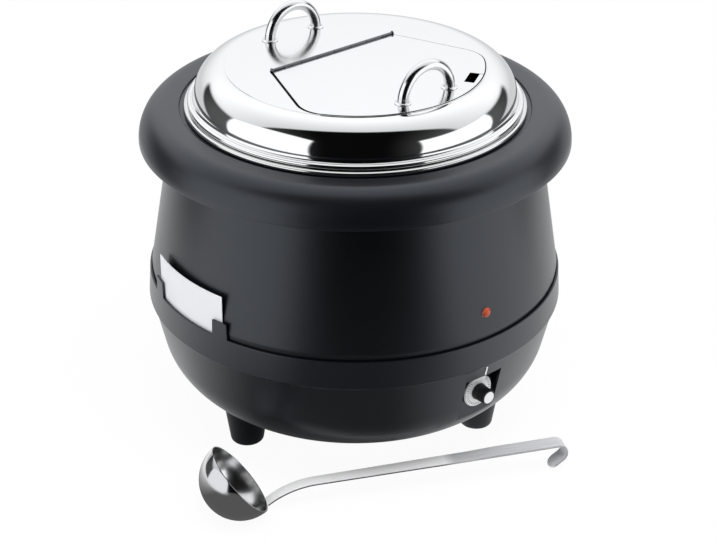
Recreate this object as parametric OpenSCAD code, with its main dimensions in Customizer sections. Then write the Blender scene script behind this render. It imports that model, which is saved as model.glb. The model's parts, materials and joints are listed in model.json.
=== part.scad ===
// Electric soup kettle with an insert pot, a lid with a hinged hatch, and a ladle.
// Millimetres, +Z up. The origin is on the kettle's axis, on the plane it stands on.
// The dial faces -Y. A place round the kettle is an angle from the dial, towards +X.

/* [Stand] */
// Height of the base above the table
foot_h = 38; // [25:0.5:50]
// Radius of a foot where it meets the table
foot_r = 15.5; // [12:0.5:18]
// Radius of a foot where it meets the base
foot_top_r = 21; // [19:0.5:24]
// How far outside the flat of the base the feet stand
foot_out = 6.5; // [4:0.5:10]

/* [Lower shell] */
// How far the bowl stands outside the water pan at the crease
bowl_out = 39.3; // [30:0.1:55]
// Height of the crease above the base
bowl_h = 92; // [84:0.5:105]
// Lean of the bowl's straight wall, in degrees
bowl_lean = 12.5; // [9:0.5:15]
// Radius that rounds the bowl into its flat base
bowl_round_r = 64; // [56:1:72]
// Wall of the moulded shells
shell_wall = 3; // [2.4:0.1:4]
// Height of the band from the crease to the lip
band_h = 28.5; // [24:0.5:36]
// How far the band stands out over the bowl at the crease
band_step = 2.5; // [1.5:0.1:4]
// How far the band leans in up to the lip
band_lean = 1.8; // [0.5:0.1:3]
// Wall of the lip
lip_wall = 2.2; // [1.8:0.1:3]
// Gap behind the lip, for the card
lip_gap = 2.2; // [1.8:0.1:3]
// Depth of the gap behind the lip
lip_lap = 14; // [10:0.5:18]

/* [Upper shell] */
// Height from the lip to the edge of the collar
upper_h = 130.5; // [110:0.5:160]
// How far the shell swells out again above the lip
upper_swell = 2; // [1:0.1:3]
// Height of that swell above the lip
upper_swell_h = 5.5; // [4:0.5:8]

/* [Collar] */
// Height of the collar
collar_h = 30.4; // [24:0.2:40]
// How far the collar overhangs the upper shell
collar_overhang = 27.5; // [20:0.5:36]
// Width of the collar's rounded shoulder
collar_round_w = 24; // [16:0.5:30]
// Wall of the collar
collar_wall = 4; // [3.4:0.1:6]
// Depth of the seat for the pot's rim
seat_depth = 2; // [1:0.1:2.4]

/* [Insert pot] */
// Outer radius of the pot
pot_r = 140; // [125:0.5:150]
// Depth of the pot
pot_depth = 184; // [160:1:195]
// Width of the pot's rim outside its wall
pot_rim_w = 17; // [15:0.5:20]
// Radius of the pot's rolled edge
pot_bead_r = 2.2; // [1.8:0.1:2.6]
// Radius of the pot's bottom corner
pot_corner_r = 18; // [12:1:26]
// Sheet of the pot, the lid and the hatch
sheet = 1.2; // [1:0.1:1.5]

/* [Water pan] */
// Water space between the pot's wall and the pan
pan_gap = 13.8; // [11:0.2:16]
// Water space under the pot
pan_depth_gap = 12.9; // [9:0.5:16]
// Radius of the pan's bottom corner
pan_corner_r = 12; // [8:1:18]
// Space between the pan and the upper shell at the collar's edge
pan_shell_gap = 16.5; // [13:0.5:24]

/* [Lid] */
// Height of the lid from the pot's rim to its flat top
lid_h = 34.6; // [30:0.2:42]
// Turn of the lid on the pot, in degrees
lid_turn = 2.5; // [-40:0.5:40]
// Radius of the lid's rolled edge
lid_bead_r = 2.3; // [1.9:0.1:2.8]
// How far the lid's edge lies inside the pot's edge
lid_inset = 3.4; // [2.8:0.1:5]
// Width of the lid's rounded shoulder
shoulder_w = 25.9; // [20:0.1:30]

/* [Hatch] */
// Half the length of the hatch's hinge
hinge_half_w = 71; // [64:0.5:76]
// Distance of the hinge behind the lid's centre
hinge_back = 31.6; // [24:0.2:38]
// Splay of the hatch's sides, in degrees
flap_splay = 21; // [17:0.5:24]
// Radius of the hatch's front corners
flap_corner_r = 30; // [24:1:36]
// Gap round the flap
flap_gap = 1.4; // [1:0.1:2]
// Length of the ladle slot
slot_l = 22; // [18:0.5:26]
// Width of the ladle slot
slot_w = 9; // [7:0.5:11]
// Place of the ladle slot round the flap, in degrees
slot_place = 32; // [28:0.5:34]

/* [Handles] */
// Distance between the feet of a handle
handle_w = 54.5; // [50:0.5:62]
// Radius of the handle's tube
handle_r = 5; // [4:0.05:5.6]
// Length of the straight leg under the arch
handle_leg = 0.6; // [0.5:0.1:6]
// Distance of each handle inside the edge of the flat top
handle_in = 23.5; // [20:0.5:28]

/* [Dial] */
// Height of the crease above the dial's axis
dial_drop = 31.5; // [29:0.5:35]
// Radius of the dial's skirt
dial_r = 15.8; // [14:0.2:18]
// Radius of the knob at its foot
knob_r = 8; // [7.5:0.1:9]
// Length of the knob in front of the skirt
knob_l = 14.5; // [11:0.5:18]
// Depth of the recess behind the bowl's widest line
recess_depth = 15.8; // [13:0.2:18]
// Radius of the indicator lamp
lamp_r = 5; // [4:0.1:6]
// Height of the lamp above the lip
lamp_up = 24.5; // [20:0.5:40]

/* [Label card] */
// Place of the card round the kettle, in degrees from the dial
card_place = -90; // [-120:1:-60]
// Half the width of the card, in degrees
card_half_turn = 15; // [12:0.5:18]
// Height of the card above the lip
card_up = 40.5; // [32:0.5:50]
// Thickness of the card
card_t = 0.8; // [0.6:0.1:1]
// Height of the tabs above the lip
tab_h = 15.5; // [10:0.5:20]

/* [Cable inlet] */
// Bore radius of the cable gland
gland_bore_r = 4; // [3:0.1:5]
// Height of the gland above the base
gland_up = 42; // [36:0.5:48]

/* [Ladle] */
// Radius of the ladle's bowl
ladle_r = 37.3; // [32:0.1:42]
// Lift of the bowl's mouth from upright, in degrees
ladle_tilt = 39; // [32:0.5:46]
// Distance from the bowl's centre to the bend of the hook
ladle_reach = 300; // [260:1:330]
// Width of the ladle's strap
strap_w = 16; // [12:0.5:20]
// Thickness of the ladle's strap
strap_t = 2; // [1.6:0.1:2.6]
// Height of the hook end's centre line above the table
strap_end_z = 28; // [25:0.2:30]

/* [Hidden] */
$fn = 96;
// Steps of a rounded stretch in an outline
arc_n = 14;
// Overrun of every cut
cut = 2;
// Space left between faces that lie close but don't press together
rest_gap = 0.3;
// Space between a screw or a bush and its hole
hole_gap = 0.1;
// Running clearance of a shaft, on the radius
run_gap = 0.05;
// Angles of the feet round the kettle
foot_angles = [-90, 30, 150];
black = "#26282b";
soft_black = "#1b1c1e";
steel = "#d6d8da";
dull_steel = "#9a9da0";

// Heights of the main levels above the table
base_z = foot_h;
crease_z = base_z + bowl_h;
lip_z = crease_z + band_h;
skirt_z = lip_z + upper_h;
collar_z = skirt_z + collar_h;
collar_under_z = collar_z - collar_wall;
seat_z = collar_z - seat_depth;
pot_rim_z = seat_z + rest_gap + 2*pot_bead_r;
pot_floor_z = pot_rim_z - pot_depth;
lid_z = pot_rim_z + rest_gap;
lid_top_z = lid_z + lid_h;
swell_z = lip_z + upper_swell_h;
dial_z = crease_z - dial_drop;
lamp_z = lip_z + lamp_up;
gland_z = base_z + gland_up;

// Radii of the water pan and of the bowl round it
pan_r = pot_r + pan_gap + sheet;
bowl_r = pan_r + bowl_out;

// Outline of the lower shell
round_top_z = base_z + bowl_round_r*(1 - sin(bowl_lean));
round_top_r = bowl_r - (crease_z - round_top_z)*tan(bowl_lean);
flat_r = round_top_r - bowl_round_r*cos(bowl_lean);
round_z = base_z + bowl_round_r;
band_r = bowl_r + band_step;
lip_r = band_r - band_lean;
lip_in_r = lip_r - lip_wall;
shelf_z = lip_z - lip_lap;
shelf_lap = 1.5;
upper_skirt_r = lip_in_r - lip_gap;
shelf_r = upper_skirt_r - shell_wall - shelf_lap;
bowl_in_r = bowl_r - shell_wall/cos(bowl_lean);
foot_circle_r = flat_r + foot_out;
foot_edge_r = 4;

// Outline of the upper shell and the collar
upper_r = upper_skirt_r + upper_swell;
well_gap = 7;
well_r = pot_r + well_gap;
pot_rim_r = pot_r + pot_rim_w;
upper_top_r = pan_r + pan_shell_gap;
upper_slope = (upper_r - upper_top_r)/(skirt_z - swell_z);
upper_end_z = collar_under_z - sheet;
upper_end_r = upper_r - upper_slope*(upper_end_z - swell_z);
collar_r = upper_top_r + collar_overhang;
seat_margin = 4;
seat_r = pot_rim_r + seat_margin;
neck_h = 18;
neck_wall = 2.5;
neck_z = collar_under_z - neck_h;
neck_r = max(upper_r - upper_slope*(neck_z - swell_z), upper_end_r) + rest_gap;

// Water pan and heater under it
pan_floor_z = pot_floor_z - pan_depth_gap;
pan_under_z = pan_floor_z - sheet;
heater_in = 35;
heater_r = pan_r - heater_in;
heater_t = 3;
heater_under_z = pan_under_z - heater_t;
element_in = 25;
element_ring_r = heater_r - element_in;
element_r = 4.2;
element_z = heater_under_z - element_r - run_gap;
element_open = 16;
pin_r = 3;
pin_l = 16;
bracket_w = 14;
bracket_t = 2;
bracket_over = 12;
bracket_z = element_z - element_r - run_gap - bracket_t;
stud_r = 3;
stud_l = 6;
stud_nut_r = 5.5;
stud_nut_h = 5;
cutout_r = 9;
cutout_h = 8;
cutout_out = 52;
cutout_turn = 135;

// Lid outline
lid_edge_r = pot_rim_r - lid_inset;
lid_bead_y = lid_edge_r - lid_bead_r;
lid_bead_z = lid_z + lid_bead_r;
cove_r = 3.5;
cove_in = 6.2;
cove_z = lid_bead_z + lid_bead_r - sheet/2;
lid_wall_r = lid_edge_r - cove_in;
panel_step = 0.5;
panel_land = 1.7;
shoulder_z = cove_z + cove_r;
shoulder_h = lid_top_z - panel_step - shoulder_z;
shoulder_in_r = lid_wall_r - shoulder_w;
panel_r = shoulder_in_r - panel_land;

// Hatch outline, with the lid's front towards -Y
ledge_w = 7;
ledge_drop = 0.3;
rim_t = 1.2;
hatch_margin = 0.8;
flap_r = panel_r - panel_step - hatch_margin - flap_gap;
flap_under_z = lid_top_z - sheet;
ledge_z = flap_under_z - ledge_drop;
barrel_r = 2.6;
barrel_up = 1;
barrel_end = 13;
barrel_gap = 0.7;
hinge_pin_r = 1.5;
hinge_head_r = 2.3;
hinge_head_l = 1.2;
hinge_z = lid_top_z + barrel_up;
barrel_half_l = hinge_half_w - barrel_end;
hatch_back = hinge_back + barrel_r + barrel_gap;
splay_out = [cos(flap_splay), sin(flap_splay)];
splay_dir = [sin(flap_splay), -cos(flap_splay)];
corner_from = [hinge_half_w, hinge_back] - flap_corner_r*splay_out;
corner_b = corner_from*splay_dir;
corner_c = corner_from*corner_from - pow(flap_r - flap_corner_r, 2);
corner_at = corner_from + (sqrt(corner_b*corner_b - corner_c) - corner_b)*splay_dir;
corner_turn = atan2(corner_at[1], corner_at[0]);
slot_edge = 4;
slot_r = flap_r - slot_edge - slot_w/2;
slit_w = 0.9;

// Handles
lid_handle_y = panel_r - handle_in - handle_r;
flap_handle_in = 22;
flap_handle_y = -(flap_r - flap_handle_in);
handle_collar_w = 2;
handle_collar_r = handle_r + handle_collar_w;
handle_collar_h = 1.6;
handle_stud_r = 2.5;
handle_nut_r = 4.8;
handle_nut_h = 4;

// Recess, dial and thermostat
recess_y = bowl_r - recess_depth;
recess_margin = 4.6;
recess_half_w = dial_r + recess_margin;
recess_over = 4.1;
recess_under = 14.5;
recess_top_z = dial_z + dial_r + recess_over;
recess_low_z = dial_z - dial_r - recess_under;
recess_wall = 2.5;
skirt_gap = 3.4;
skirt_t = 2.2;
skirt_bevel = 1;
skirt_y = recess_y + skirt_gap;
knob_y = skirt_y + skirt_t;
knob_draft = 0.8;
knob_edge = 1;
cap_r = 5.7;
cap_t = 0.8;
cap_sink = 0.4;
shaft_r = 3;
shaft_sink = 4;
shaft_in_knob = 9;
bush_r = 5;
bush_out = 2.8;
bush_nut_r = 7.6;
bush_nut_h = 2.4;
stat_w = 38;
stat_h = 38;
stat_d = 17;
stat_y = recess_y - recess_wall;
stat_back_y = stat_y - stat_d;

// Pointer mark above the dial
pointer_w = 1.7;
pointer_t = 0.5;
pointer_gap = 1.4;
pointer_low_z = recess_top_z + pointer_gap;
pointer_top_z = crease_z - pointer_t;

// Indicator lamp
lamp_dome = 3;
lamp_wall_r = upper_r - upper_slope*(lamp_z - swell_z);
lamp_body_r = 4.2;
lamp_body_l = 13;
lamp_clip_r = 8.5;
lamp_clip_t = 1.4;
lamp_back = shell_wall + abs(upper_slope)*lamp_clip_r + rest_gap;

// Label card and its tabs
tab_turn = 5;
tab_lap = 3;
tab_z = lip_z + tab_h;
tab_half_turn = card_half_turn - tab_lap;
card_r = lip_in_r - rest_gap;
card_low_z = shelf_z + rest_gap;
card_top_z = lip_z + card_up;
card_back_r = card_r - card_t - rest_gap;
card_side = 1;

// Cable gland at the back
gland_y = bowl_r - recess_depth - skirt_gap;
gland_r = 8;
gland_flange_r = 12;
gland_flange_t = 4;
gland_cap_r = 9.5;
gland_cap_l = 9;
gland_nut_t = 5;
gland_tail = 2;
inlet_half_w = 17;
inlet_half_h = 17;

// Base plate, foot screws and nuts
base_t = 1.5;
base_lap = 11;
base_margin = 6;
base_plate_r = foot_circle_r - foot_top_r - base_margin;
base_open_r = base_plate_r - base_lap;
base_screw_r = 1.8;
base_head_r = 3.6;
base_head_h = 2;
base_boss_r = 5;
base_boss_h = 9;
base_screw_l = 8;
base_screw_n = 4;
base_screw_turn = 45;
foot_screw_r = 2.5;
foot_head_r = 4.6;
foot_head_h = 3.5;
foot_sink = 14;
foot_sink_r = 6;
foot_boss_r = 8;
foot_boss_h = 8;
foot_boss_share = 0.8;
foot_nut_r = 4.8;
foot_nut_h = 4;

// Terminal block and wires
block_w = 42;
block_d = 18;
block_h = 18;
block_in = 19.8;
block_y = sqrt(pow(base_open_r - block_in, 2) - pow(block_w/2, 2)) - block_d;
wire_r = 1.6;
supply_x = 9;
supply_z = dial_z - stat_h/2 + 3*wire_r;
lead_z = dial_z - wire_r;
lamp_wire_r = 1.1;
lamp_wire_x = 2.4;

// Ladle, in its own plane: along the handle, and up
ladle_out = 100;
ladle_bearing = -64.8;
ladle_place = (flat_r + ladle_out)*[sin(ladle_bearing), -cos(ladle_bearing)];
ladle_turn = -23.5;
neck_r_strap = 78;
neck_start = 37;
strap_rise = 1.3;
hook_r = 9;
hook_turn = 142;
hook_tail = 15;
ladle_low = [ladle_r*sin(ladle_tilt), ladle_r - ladle_r*cos(ladle_tilt)];
strap_end = [ladle_reach, strap_end_z];

// Points of a round arc, and of an oval one
function oval(c, rx, ry, a0, a1, n = arc_n) =
    [for (i = [0:n]) let (a = a0 + (a1 - a0)*i/n) [c[0] + rx*cos(a), c[1] + ry*sin(a)]];
function arc(c, r, a0, a1, n = arc_n) = oval(c, r, r, a0, a1, n);
function reversed(list) = [for (i = [len(list) - 1:-1:0]) list[i]];

// Outer radius of the bowl at a height above its rounded part
function bowl_at(z) = bowl_r - (crease_z - z)*tan(bowl_lean);

// Outline of the hatch, grown by k, with its back edge at y
function hatch_side(k, y) = let (
        s = (hinge_back + k*splay_out[1] - y)/cos(flap_splay),
        back = [hinge_half_w, hinge_back] + k*splay_out + s*splay_dir
    )
    concat([back], arc(corner_at, flap_corner_r + k, flap_splay, corner_turn));
function hatch(k, y) = let (side = hatch_side(k, y)) concat(
    side,
    arc([0, 0], flap_r + k, corner_turn, -180 - corner_turn, 2*arc_n),
    reversed([for (p = side) [-p[0], p[1]]])
);

// A strip of even thickness along a list of points with their headings
function strip(path, t) = concat(
    [for (p = path) [p[0] - t/2*sin(p[2]), p[1] + t/2*cos(p[2])]],
    reversed([for (p = path) [p[0] + t/2*sin(p[2]), p[1] - t/2*cos(p[2])]])
);

// Turns a piece that faces the dial to another place round the kettle
module at_place(a) {
    rotate([0, 0, a]) children();
}

// A ring sector centred on a place, from an outline of radius and height
module sector(place, half_turn) {
    rotate([0, 0, place - half_turn - 90]) rotate_extrude(angle = 2*half_turn) children();
}

// A round bar that runs out from the kettle's axis towards the dial
module rod(r, y0, y1, x = 0, z = 0) {
    translate([x, -y0, z]) rotate([90, 0, 0]) cylinder(r = r, h = y1 - y0);
}

// The bowl's outside as one solid, for trimming what meets it
module bowl_body() {
    rotate_extrude() polygon(concat(
        [[0, base_z]],
        arc([flat_r, round_z], bowl_round_r, -90, -bowl_lean),
        [[bowl_r, crease_z], [0, crease_z]]
    ));
}

module collar_ring() {
    color(black) rotate_extrude() polygon(concat(
        oval([collar_r - collar_round_w, skirt_z], collar_round_w, collar_h, 0, 90),
        [[seat_r, collar_z], [seat_r, seat_z], [well_r, seat_z], [well_r, collar_under_z]],
        [[neck_r, collar_under_z], [neck_r, neck_z], [neck_r + neck_wall, neck_z]],
        [[neck_r + neck_wall, collar_under_z]],
        oval([collar_r - collar_round_w, skirt_z], collar_round_w - collar_wall,
             collar_h - collar_wall, 90, 0)
    ));
}

module upper_shell() {
    color(black) difference() {
        rotate_extrude() polygon([
            [upper_skirt_r, shelf_z],
            [upper_skirt_r, lip_z],
            [upper_r, swell_z],
            [upper_end_r, upper_end_z],
            [upper_end_r - shell_wall, upper_end_z],
            [upper_r - shell_wall, swell_z],
            [upper_skirt_r - shell_wall, lip_z],
            [upper_skirt_r - shell_wall, shelf_z]
        ]);
        sector(card_place, card_half_turn + card_side)
            translate([card_back_r, shelf_z - cut]) square([lip_r, card_top_z - shelf_z]);
        rod(lamp_r + run_gap, lamp_wall_r - shell_wall - cut*2, lamp_wall_r + cut, z = lamp_z);
    }
}

// A pocket with an upright back wall, sunk into the bowl
module pocket(half_w, low_z, top_z, y, wall) {
    translate([-half_w - wall, -bowl_r - band_step, low_z - wall])
        cube([2*(half_w + wall), bowl_r + band_step - y + wall, top_z - low_z + 2*wall]);
}

module pocket_space(half_w, low_z, top_z, y) {
    translate([-half_w, -bowl_r - band_step - cut, low_z])
        cube([2*half_w, bowl_r + band_step + cut - y, top_z - low_z]);
}

module lower_shell_wall() {
    rotate_extrude() polygon(concat(
        [[base_open_r, base_z]],
        arc([flat_r, round_z], bowl_round_r, -90, -bowl_lean),
        [[bowl_r, crease_z], [band_r, crease_z + band_step]],
        [[lip_r, lip_z - lip_wall], [lip_r, tab_z], [lip_in_r, tab_z], [lip_in_r, shelf_z], [shelf_r, shelf_z]],
        [[shelf_r, shelf_z - shell_wall], [bowl_in_r, shelf_z - shell_wall], [bowl_in_r, crease_z]],
        arc([flat_r, round_z], bowl_round_r - shell_wall, -bowl_lean, -90),
        [[base_open_r, base_z + shell_wall]]
    ));
}

// What is cut from the lip's wall to leave the two tabs
module above_lip(place, half_turn) {
    sector(place, half_turn) translate([lip_in_r - cut, lip_z]) square([lip_wall + 2*cut, tab_h + cut]);
}

module lower_shell() {
    color(black) difference() {
        union() {
            lower_shell_wall();
            intersection() {
                bowl_body();
                union() {
                    pocket(recess_half_w, recess_low_z, recess_top_z, recess_y, recess_wall);
                    at_place(180) pocket(inlet_half_w, gland_z - inlet_half_h, gland_z + inlet_half_h,
                                         gland_y, recess_wall);
                }
            }
            for (a = foot_angles)
                at_place(a) translate([0, -foot_circle_r, base_z + foot_boss_share*shell_wall])
                    cylinder(r = foot_boss_r, h = foot_boss_h - foot_boss_share*shell_wall);
            for (i = [1:base_screw_n])
                at_place(base_screw_turn + 360*i/base_screw_n)
                    translate([0, -base_open_r - base_lap/2, base_z])
                        cylinder(r = base_boss_r, h = base_boss_h);
        }
        above_lip(card_place, tab_half_turn);
        above_lip(card_place + 180, 180 - tab_half_turn - tab_turn);
        pocket_space(recess_half_w, recess_low_z, recess_top_z, recess_y);
        at_place(180) pocket_space(inlet_half_w, gland_z - inlet_half_h, gland_z + inlet_half_h, gland_y);
        rod(bush_r + hole_gap, stat_y - cut, recess_y + cut, z = dial_z);
        at_place(180) rod(gland_r + hole_gap, gland_y - recess_wall - cut, gland_y + cut, z = gland_z);
        for (a = foot_angles)
            at_place(a) translate([0, -foot_circle_r, base_z - cut])
                cylinder(r = foot_screw_r + hole_gap, h = foot_boss_h + 2*cut);
        for (i = [1:base_screw_n])
            at_place(base_screw_turn + 360*i/base_screw_n)
                translate([0, -base_open_r - base_lap/2, base_z - cut])
                    cylinder(r = base_screw_r + run_gap, h = base_boss_h + 2*cut);
    }
}

module foot(a) {
    color(soft_black) at_place(a) difference() {
        translate([0, -foot_circle_r, 0]) rotate_extrude() polygon(concat(
            [[0, 0]],
            arc([foot_r - foot_edge_r, foot_edge_r], foot_edge_r, -90, 0, 6),
            [[foot_top_r, base_z], [foot_top_r, base_z + foot_edge_r*2], [0, base_z + foot_edge_r*2]]
        ));
        translate([0, 0, -run_gap]) bowl_body();
        translate([0, -foot_circle_r, -cut]) cylinder(r = foot_sink_r, h = foot_sink + cut);
        translate([0, -foot_circle_r, 0]) cylinder(r = foot_screw_r + hole_gap, h = base_z + cut);
    }
}

module foot_left() { foot(foot_angles[0]); }
module foot_front() { foot(foot_angles[1]); }
module foot_rear() { foot(foot_angles[2]); }

module foot_screws() {
    color(dull_steel) for (a = foot_angles)
        at_place(a) translate([0, -foot_circle_r, foot_sink]) {
            translate([0, 0, -foot_head_h]) cylinder(r = foot_head_r, h = foot_head_h);
            cylinder(r = foot_screw_r, h = base_z + foot_boss_h + foot_nut_h + cut - foot_sink);
        }
}

module foot_nuts() {
    color(dull_steel) for (a = foot_angles)
        at_place(a) translate([0, -foot_circle_r, base_z + foot_boss_h]) difference() {
            cylinder(r = foot_nut_r, h = foot_nut_h, $fn = 6);
            translate([0, 0, -cut]) cylinder(r = foot_screw_r + run_gap, h = foot_nut_h + 2*cut);
        }
}

module base_plate() {
    color(dull_steel) difference() {
        translate([0, 0, base_z - base_t]) cylinder(r = base_plate_r, h = base_t);
        for (i = [1:base_screw_n])
            at_place(base_screw_turn + 360*i/base_screw_n)
                translate([0, -base_open_r - base_lap/2, base_z - base_t - cut])
                    cylinder(r = base_screw_r + hole_gap, h = base_t + 2*cut);
    }
}

module base_screws() {
    color(dull_steel) for (i = [1:base_screw_n])
        at_place(base_screw_turn + 360*i/base_screw_n)
            translate([0, -base_open_r - base_lap/2, base_z - base_t]) {
                translate([0, 0, -base_head_h]) cylinder(r = base_head_r, h = base_head_h);
                cylinder(r = base_screw_r, h = base_screw_l);
            }
}

module water_pan() {
    color(dull_steel) rotate_extrude() polygon(concat(
        [[0, pan_under_z]],
        arc([pan_r - pan_corner_r, pan_under_z + pan_corner_r], pan_corner_r, -90, 0),
        [[pan_r, upper_end_z], [upper_end_r, upper_end_z], [upper_end_r, collar_under_z]],
        [[pan_r - sheet, collar_under_z]],
        arc([pan_r - pan_corner_r, pan_under_z + pan_corner_r], pan_corner_r - sheet, 0, -90),
        [[0, pan_floor_z]]
    ));
}

module heater_plate() {
    color(dull_steel) translate([0, 0, heater_under_z]) cylinder(r = heater_r, h = heater_t);
}

module heating_element() {
    color("#5c5a55") {
        rotate([0, 0, element_open/2 - 90]) rotate_extrude(angle = 360 - element_open)
            translate([element_ring_r, element_z]) circle(r = element_r);
        for (side = [-1, 1])
            at_place(side*element_open/2) translate([0, -element_ring_r, element_z - pin_l])
                cylinder(r = pin_r, h = pin_l);
    }
}

module element_bracket() {
    color(dull_steel) {
        translate([-element_ring_r - bracket_over, -bracket_w/2, bracket_z])
            cube([2*(element_ring_r + bracket_over), bracket_w, bracket_t]);
        translate([0, 0, bracket_z - stud_l])
            cylinder(r = stud_r, h = heater_under_z - bracket_z + stud_l);
    }
}

module bracket_nut() {
    color(dull_steel) translate([0, 0, bracket_z - stud_nut_h]) difference() {
        cylinder(r = stud_nut_r, h = stud_nut_h, $fn = 6);
        translate([0, 0, -cut]) cylinder(r = stud_r + run_gap, h = stud_nut_h + 2*cut);
    }
}

module thermostat() {
    color("#c9c4b4") difference() {
        union() {
            translate([-stat_w/2, -stat_y, dial_z - stat_h/2]) cube([stat_w, stat_d, stat_h]);
            rod(bush_r, stat_y, recess_y + bush_out, z = dial_z);
        }
        rod(shaft_r + run_gap, stat_y - shaft_sink - run_gap, recess_y + bush_out + cut, z = dial_z);
    }
}

module thermostat_nut() {
    color(dull_steel) difference() {
        translate([0, -recess_y, dial_z]) rotate([90, 0, 0])
            cylinder(r = bush_nut_r, h = bush_nut_h, $fn = 6);
        rod(bush_r + run_gap, recess_y - cut, recess_y + bush_nut_h + cut, z = dial_z);
    }
}

module thermal_cutout() {
    color("#2f2f33") at_place(cutout_turn) translate([0, -cutout_out, heater_under_z - cutout_h])
        cylinder(r = cutout_r, h = cutout_h);
}

module terminal_block() {
    color("#e4e0d2") translate([-block_w/2, block_y, base_z]) cube([block_w, block_d, block_h]);
}

module wiring() {
    color("#8a2f28") for (side = [-1, 1]) {
        translate([side*supply_x, block_y + block_d/2, base_z + block_h])
            cylinder(r = wire_r, h = supply_z - base_z - block_h);
        translate([side*supply_x, block_y + block_d/2, supply_z]) sphere(r = wire_r);
        rod(wire_r, -block_y - block_d/2, stat_back_y, side*supply_x, supply_z);
        rod(wire_r, element_ring_r*cos(element_open/2) + pin_r, stat_back_y,
            side*element_ring_r*sin(element_open/2), lead_z);
        translate([side*lamp_wire_x, -stat_y + stat_d/2, dial_z + stat_h/2])
            cylinder(r = lamp_wire_r, h = lamp_z - lamp_body_r - dial_z - stat_h/2);
    }
}

module lamp_lens() {
    color("#e0502a") {
        rod(lamp_r, lamp_wall_r - shell_wall, lamp_wall_r, z = lamp_z);
        translate([0, -lamp_wall_r, lamp_z]) rotate([90, 0, 0]) intersection() {
            cylinder(r = lamp_r, h = lamp_dome);
            translate([0, 0, lamp_dome - (lamp_r*lamp_r + lamp_dome*lamp_dome)/(2*lamp_dome)])
                sphere(r = (lamp_r*lamp_r + lamp_dome*lamp_dome)/(2*lamp_dome));
        }
    }
}

module lamp_body() {
    color("#e8e4da") rod(lamp_body_r, lamp_wall_r - shell_wall - lamp_body_l, lamp_wall_r - shell_wall,
                         z = lamp_z);
}

module lamp_clip() {
    color(dull_steel) difference() {
        rod(lamp_clip_r, lamp_wall_r - lamp_back - lamp_clip_t, lamp_wall_r - lamp_back, z = lamp_z);
        rod(lamp_body_r + run_gap, lamp_wall_r - lamp_back - lamp_clip_t - cut,
            lamp_wall_r - lamp_back + cut, z = lamp_z);
    }
}

module pointer_mark() {
    color("white") intersection() {
        rotate_extrude() polygon([
            [bowl_at(pointer_low_z) + run_gap, pointer_low_z],
            [bowl_at(pointer_low_z) + pointer_t, pointer_low_z],
            [bowl_at(pointer_top_z) + pointer_t, pointer_top_z],
            [bowl_at(pointer_top_z) + run_gap, pointer_top_z]
        ]);
        translate([-pointer_w/2, -band_r, pointer_low_z - cut])
            cube([pointer_w, band_r, pointer_top_z - pointer_low_z + 2*cut]);
    }
}

module cable_gland() {
    color(soft_black) at_place(180) difference() {
        union() {
            rod(gland_r, gland_y - recess_wall - gland_nut_t - gland_tail, gland_y, z = gland_z);
            translate([0, -gland_y, gland_z]) rotate([90, 0, 0])
                cylinder(r = gland_flange_r, h = gland_flange_t, $fn = 6);
            rod(gland_cap_r, gland_y + gland_flange_t, gland_y + gland_flange_t + gland_cap_l, z = gland_z);
        }
        rod(gland_bore_r, gland_y - recess_wall - gland_nut_t - gland_tail - cut,
            gland_y + gland_flange_t + gland_cap_l + cut, z = gland_z);
    }
}

module gland_nut() {
    color(soft_black) at_place(180) difference() {
        translate([0, recess_wall - gland_y, gland_z]) rotate([-90, 0, 0])
            cylinder(r = gland_flange_r, h = gland_nut_t, $fn = 6);
        rod(gland_r + run_gap, gland_y - recess_wall - gland_nut_t - cut, gland_y, z = gland_z);
    }
}

module insert_pot() {
    color(steel) rotate_extrude() union() {
        translate([pot_rim_r - pot_bead_r, pot_rim_z - pot_bead_r]) circle(r = pot_bead_r);
        polygon(concat(
            [[0, pot_floor_z]],
            arc([pot_r - pot_corner_r, pot_floor_z + pot_corner_r], pot_corner_r, -90, 0),
            [[pot_r, pot_rim_z - sheet], [pot_rim_r - pot_bead_r, pot_rim_z - sheet]],
            [[pot_rim_r - pot_bead_r, pot_rim_z], [pot_r - sheet, pot_rim_z]],
            arc([pot_r - pot_corner_r, pot_floor_z + pot_corner_r], pot_corner_r - sheet, 0, -90),
            [[0, pot_floor_z + sheet]]
        ));
    }
}

// The lid's sheet before the hatch is cut, as an outline of radius and height
module lid_sheet() {
    rotate_extrude() union() {
        translate([lid_bead_y, lid_bead_z]) circle(r = lid_bead_r);
        polygon(concat(
            [[lid_bead_y, cove_z]],
            arc([lid_wall_r + cove_r, cove_z + cove_r], cove_r, 270, 180, 6),
            oval([shoulder_in_r, shoulder_z], shoulder_w, shoulder_h, 0, 90),
            [[panel_r, lid_top_z - panel_step], [panel_r - panel_step, lid_top_z], [0, lid_top_z]],
            [[0, flap_under_z], [shoulder_in_r, flap_under_z]],
            oval([shoulder_in_r, shoulder_z], shoulder_w - sheet, shoulder_h + panel_step - sheet, 90, 0),
            arc([lid_wall_r + cove_r, cove_z + cove_r], cove_r + sheet, 180, 270, 6),
            [[lid_bead_y, cove_z - sheet]]
        ));
    }
}

module hinge_tube(r, x0, x1) {
    translate([x0, hinge_back, hinge_z]) rotate([0, 90, 0]) cylinder(r = r, h = x1 - x0);
}

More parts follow.
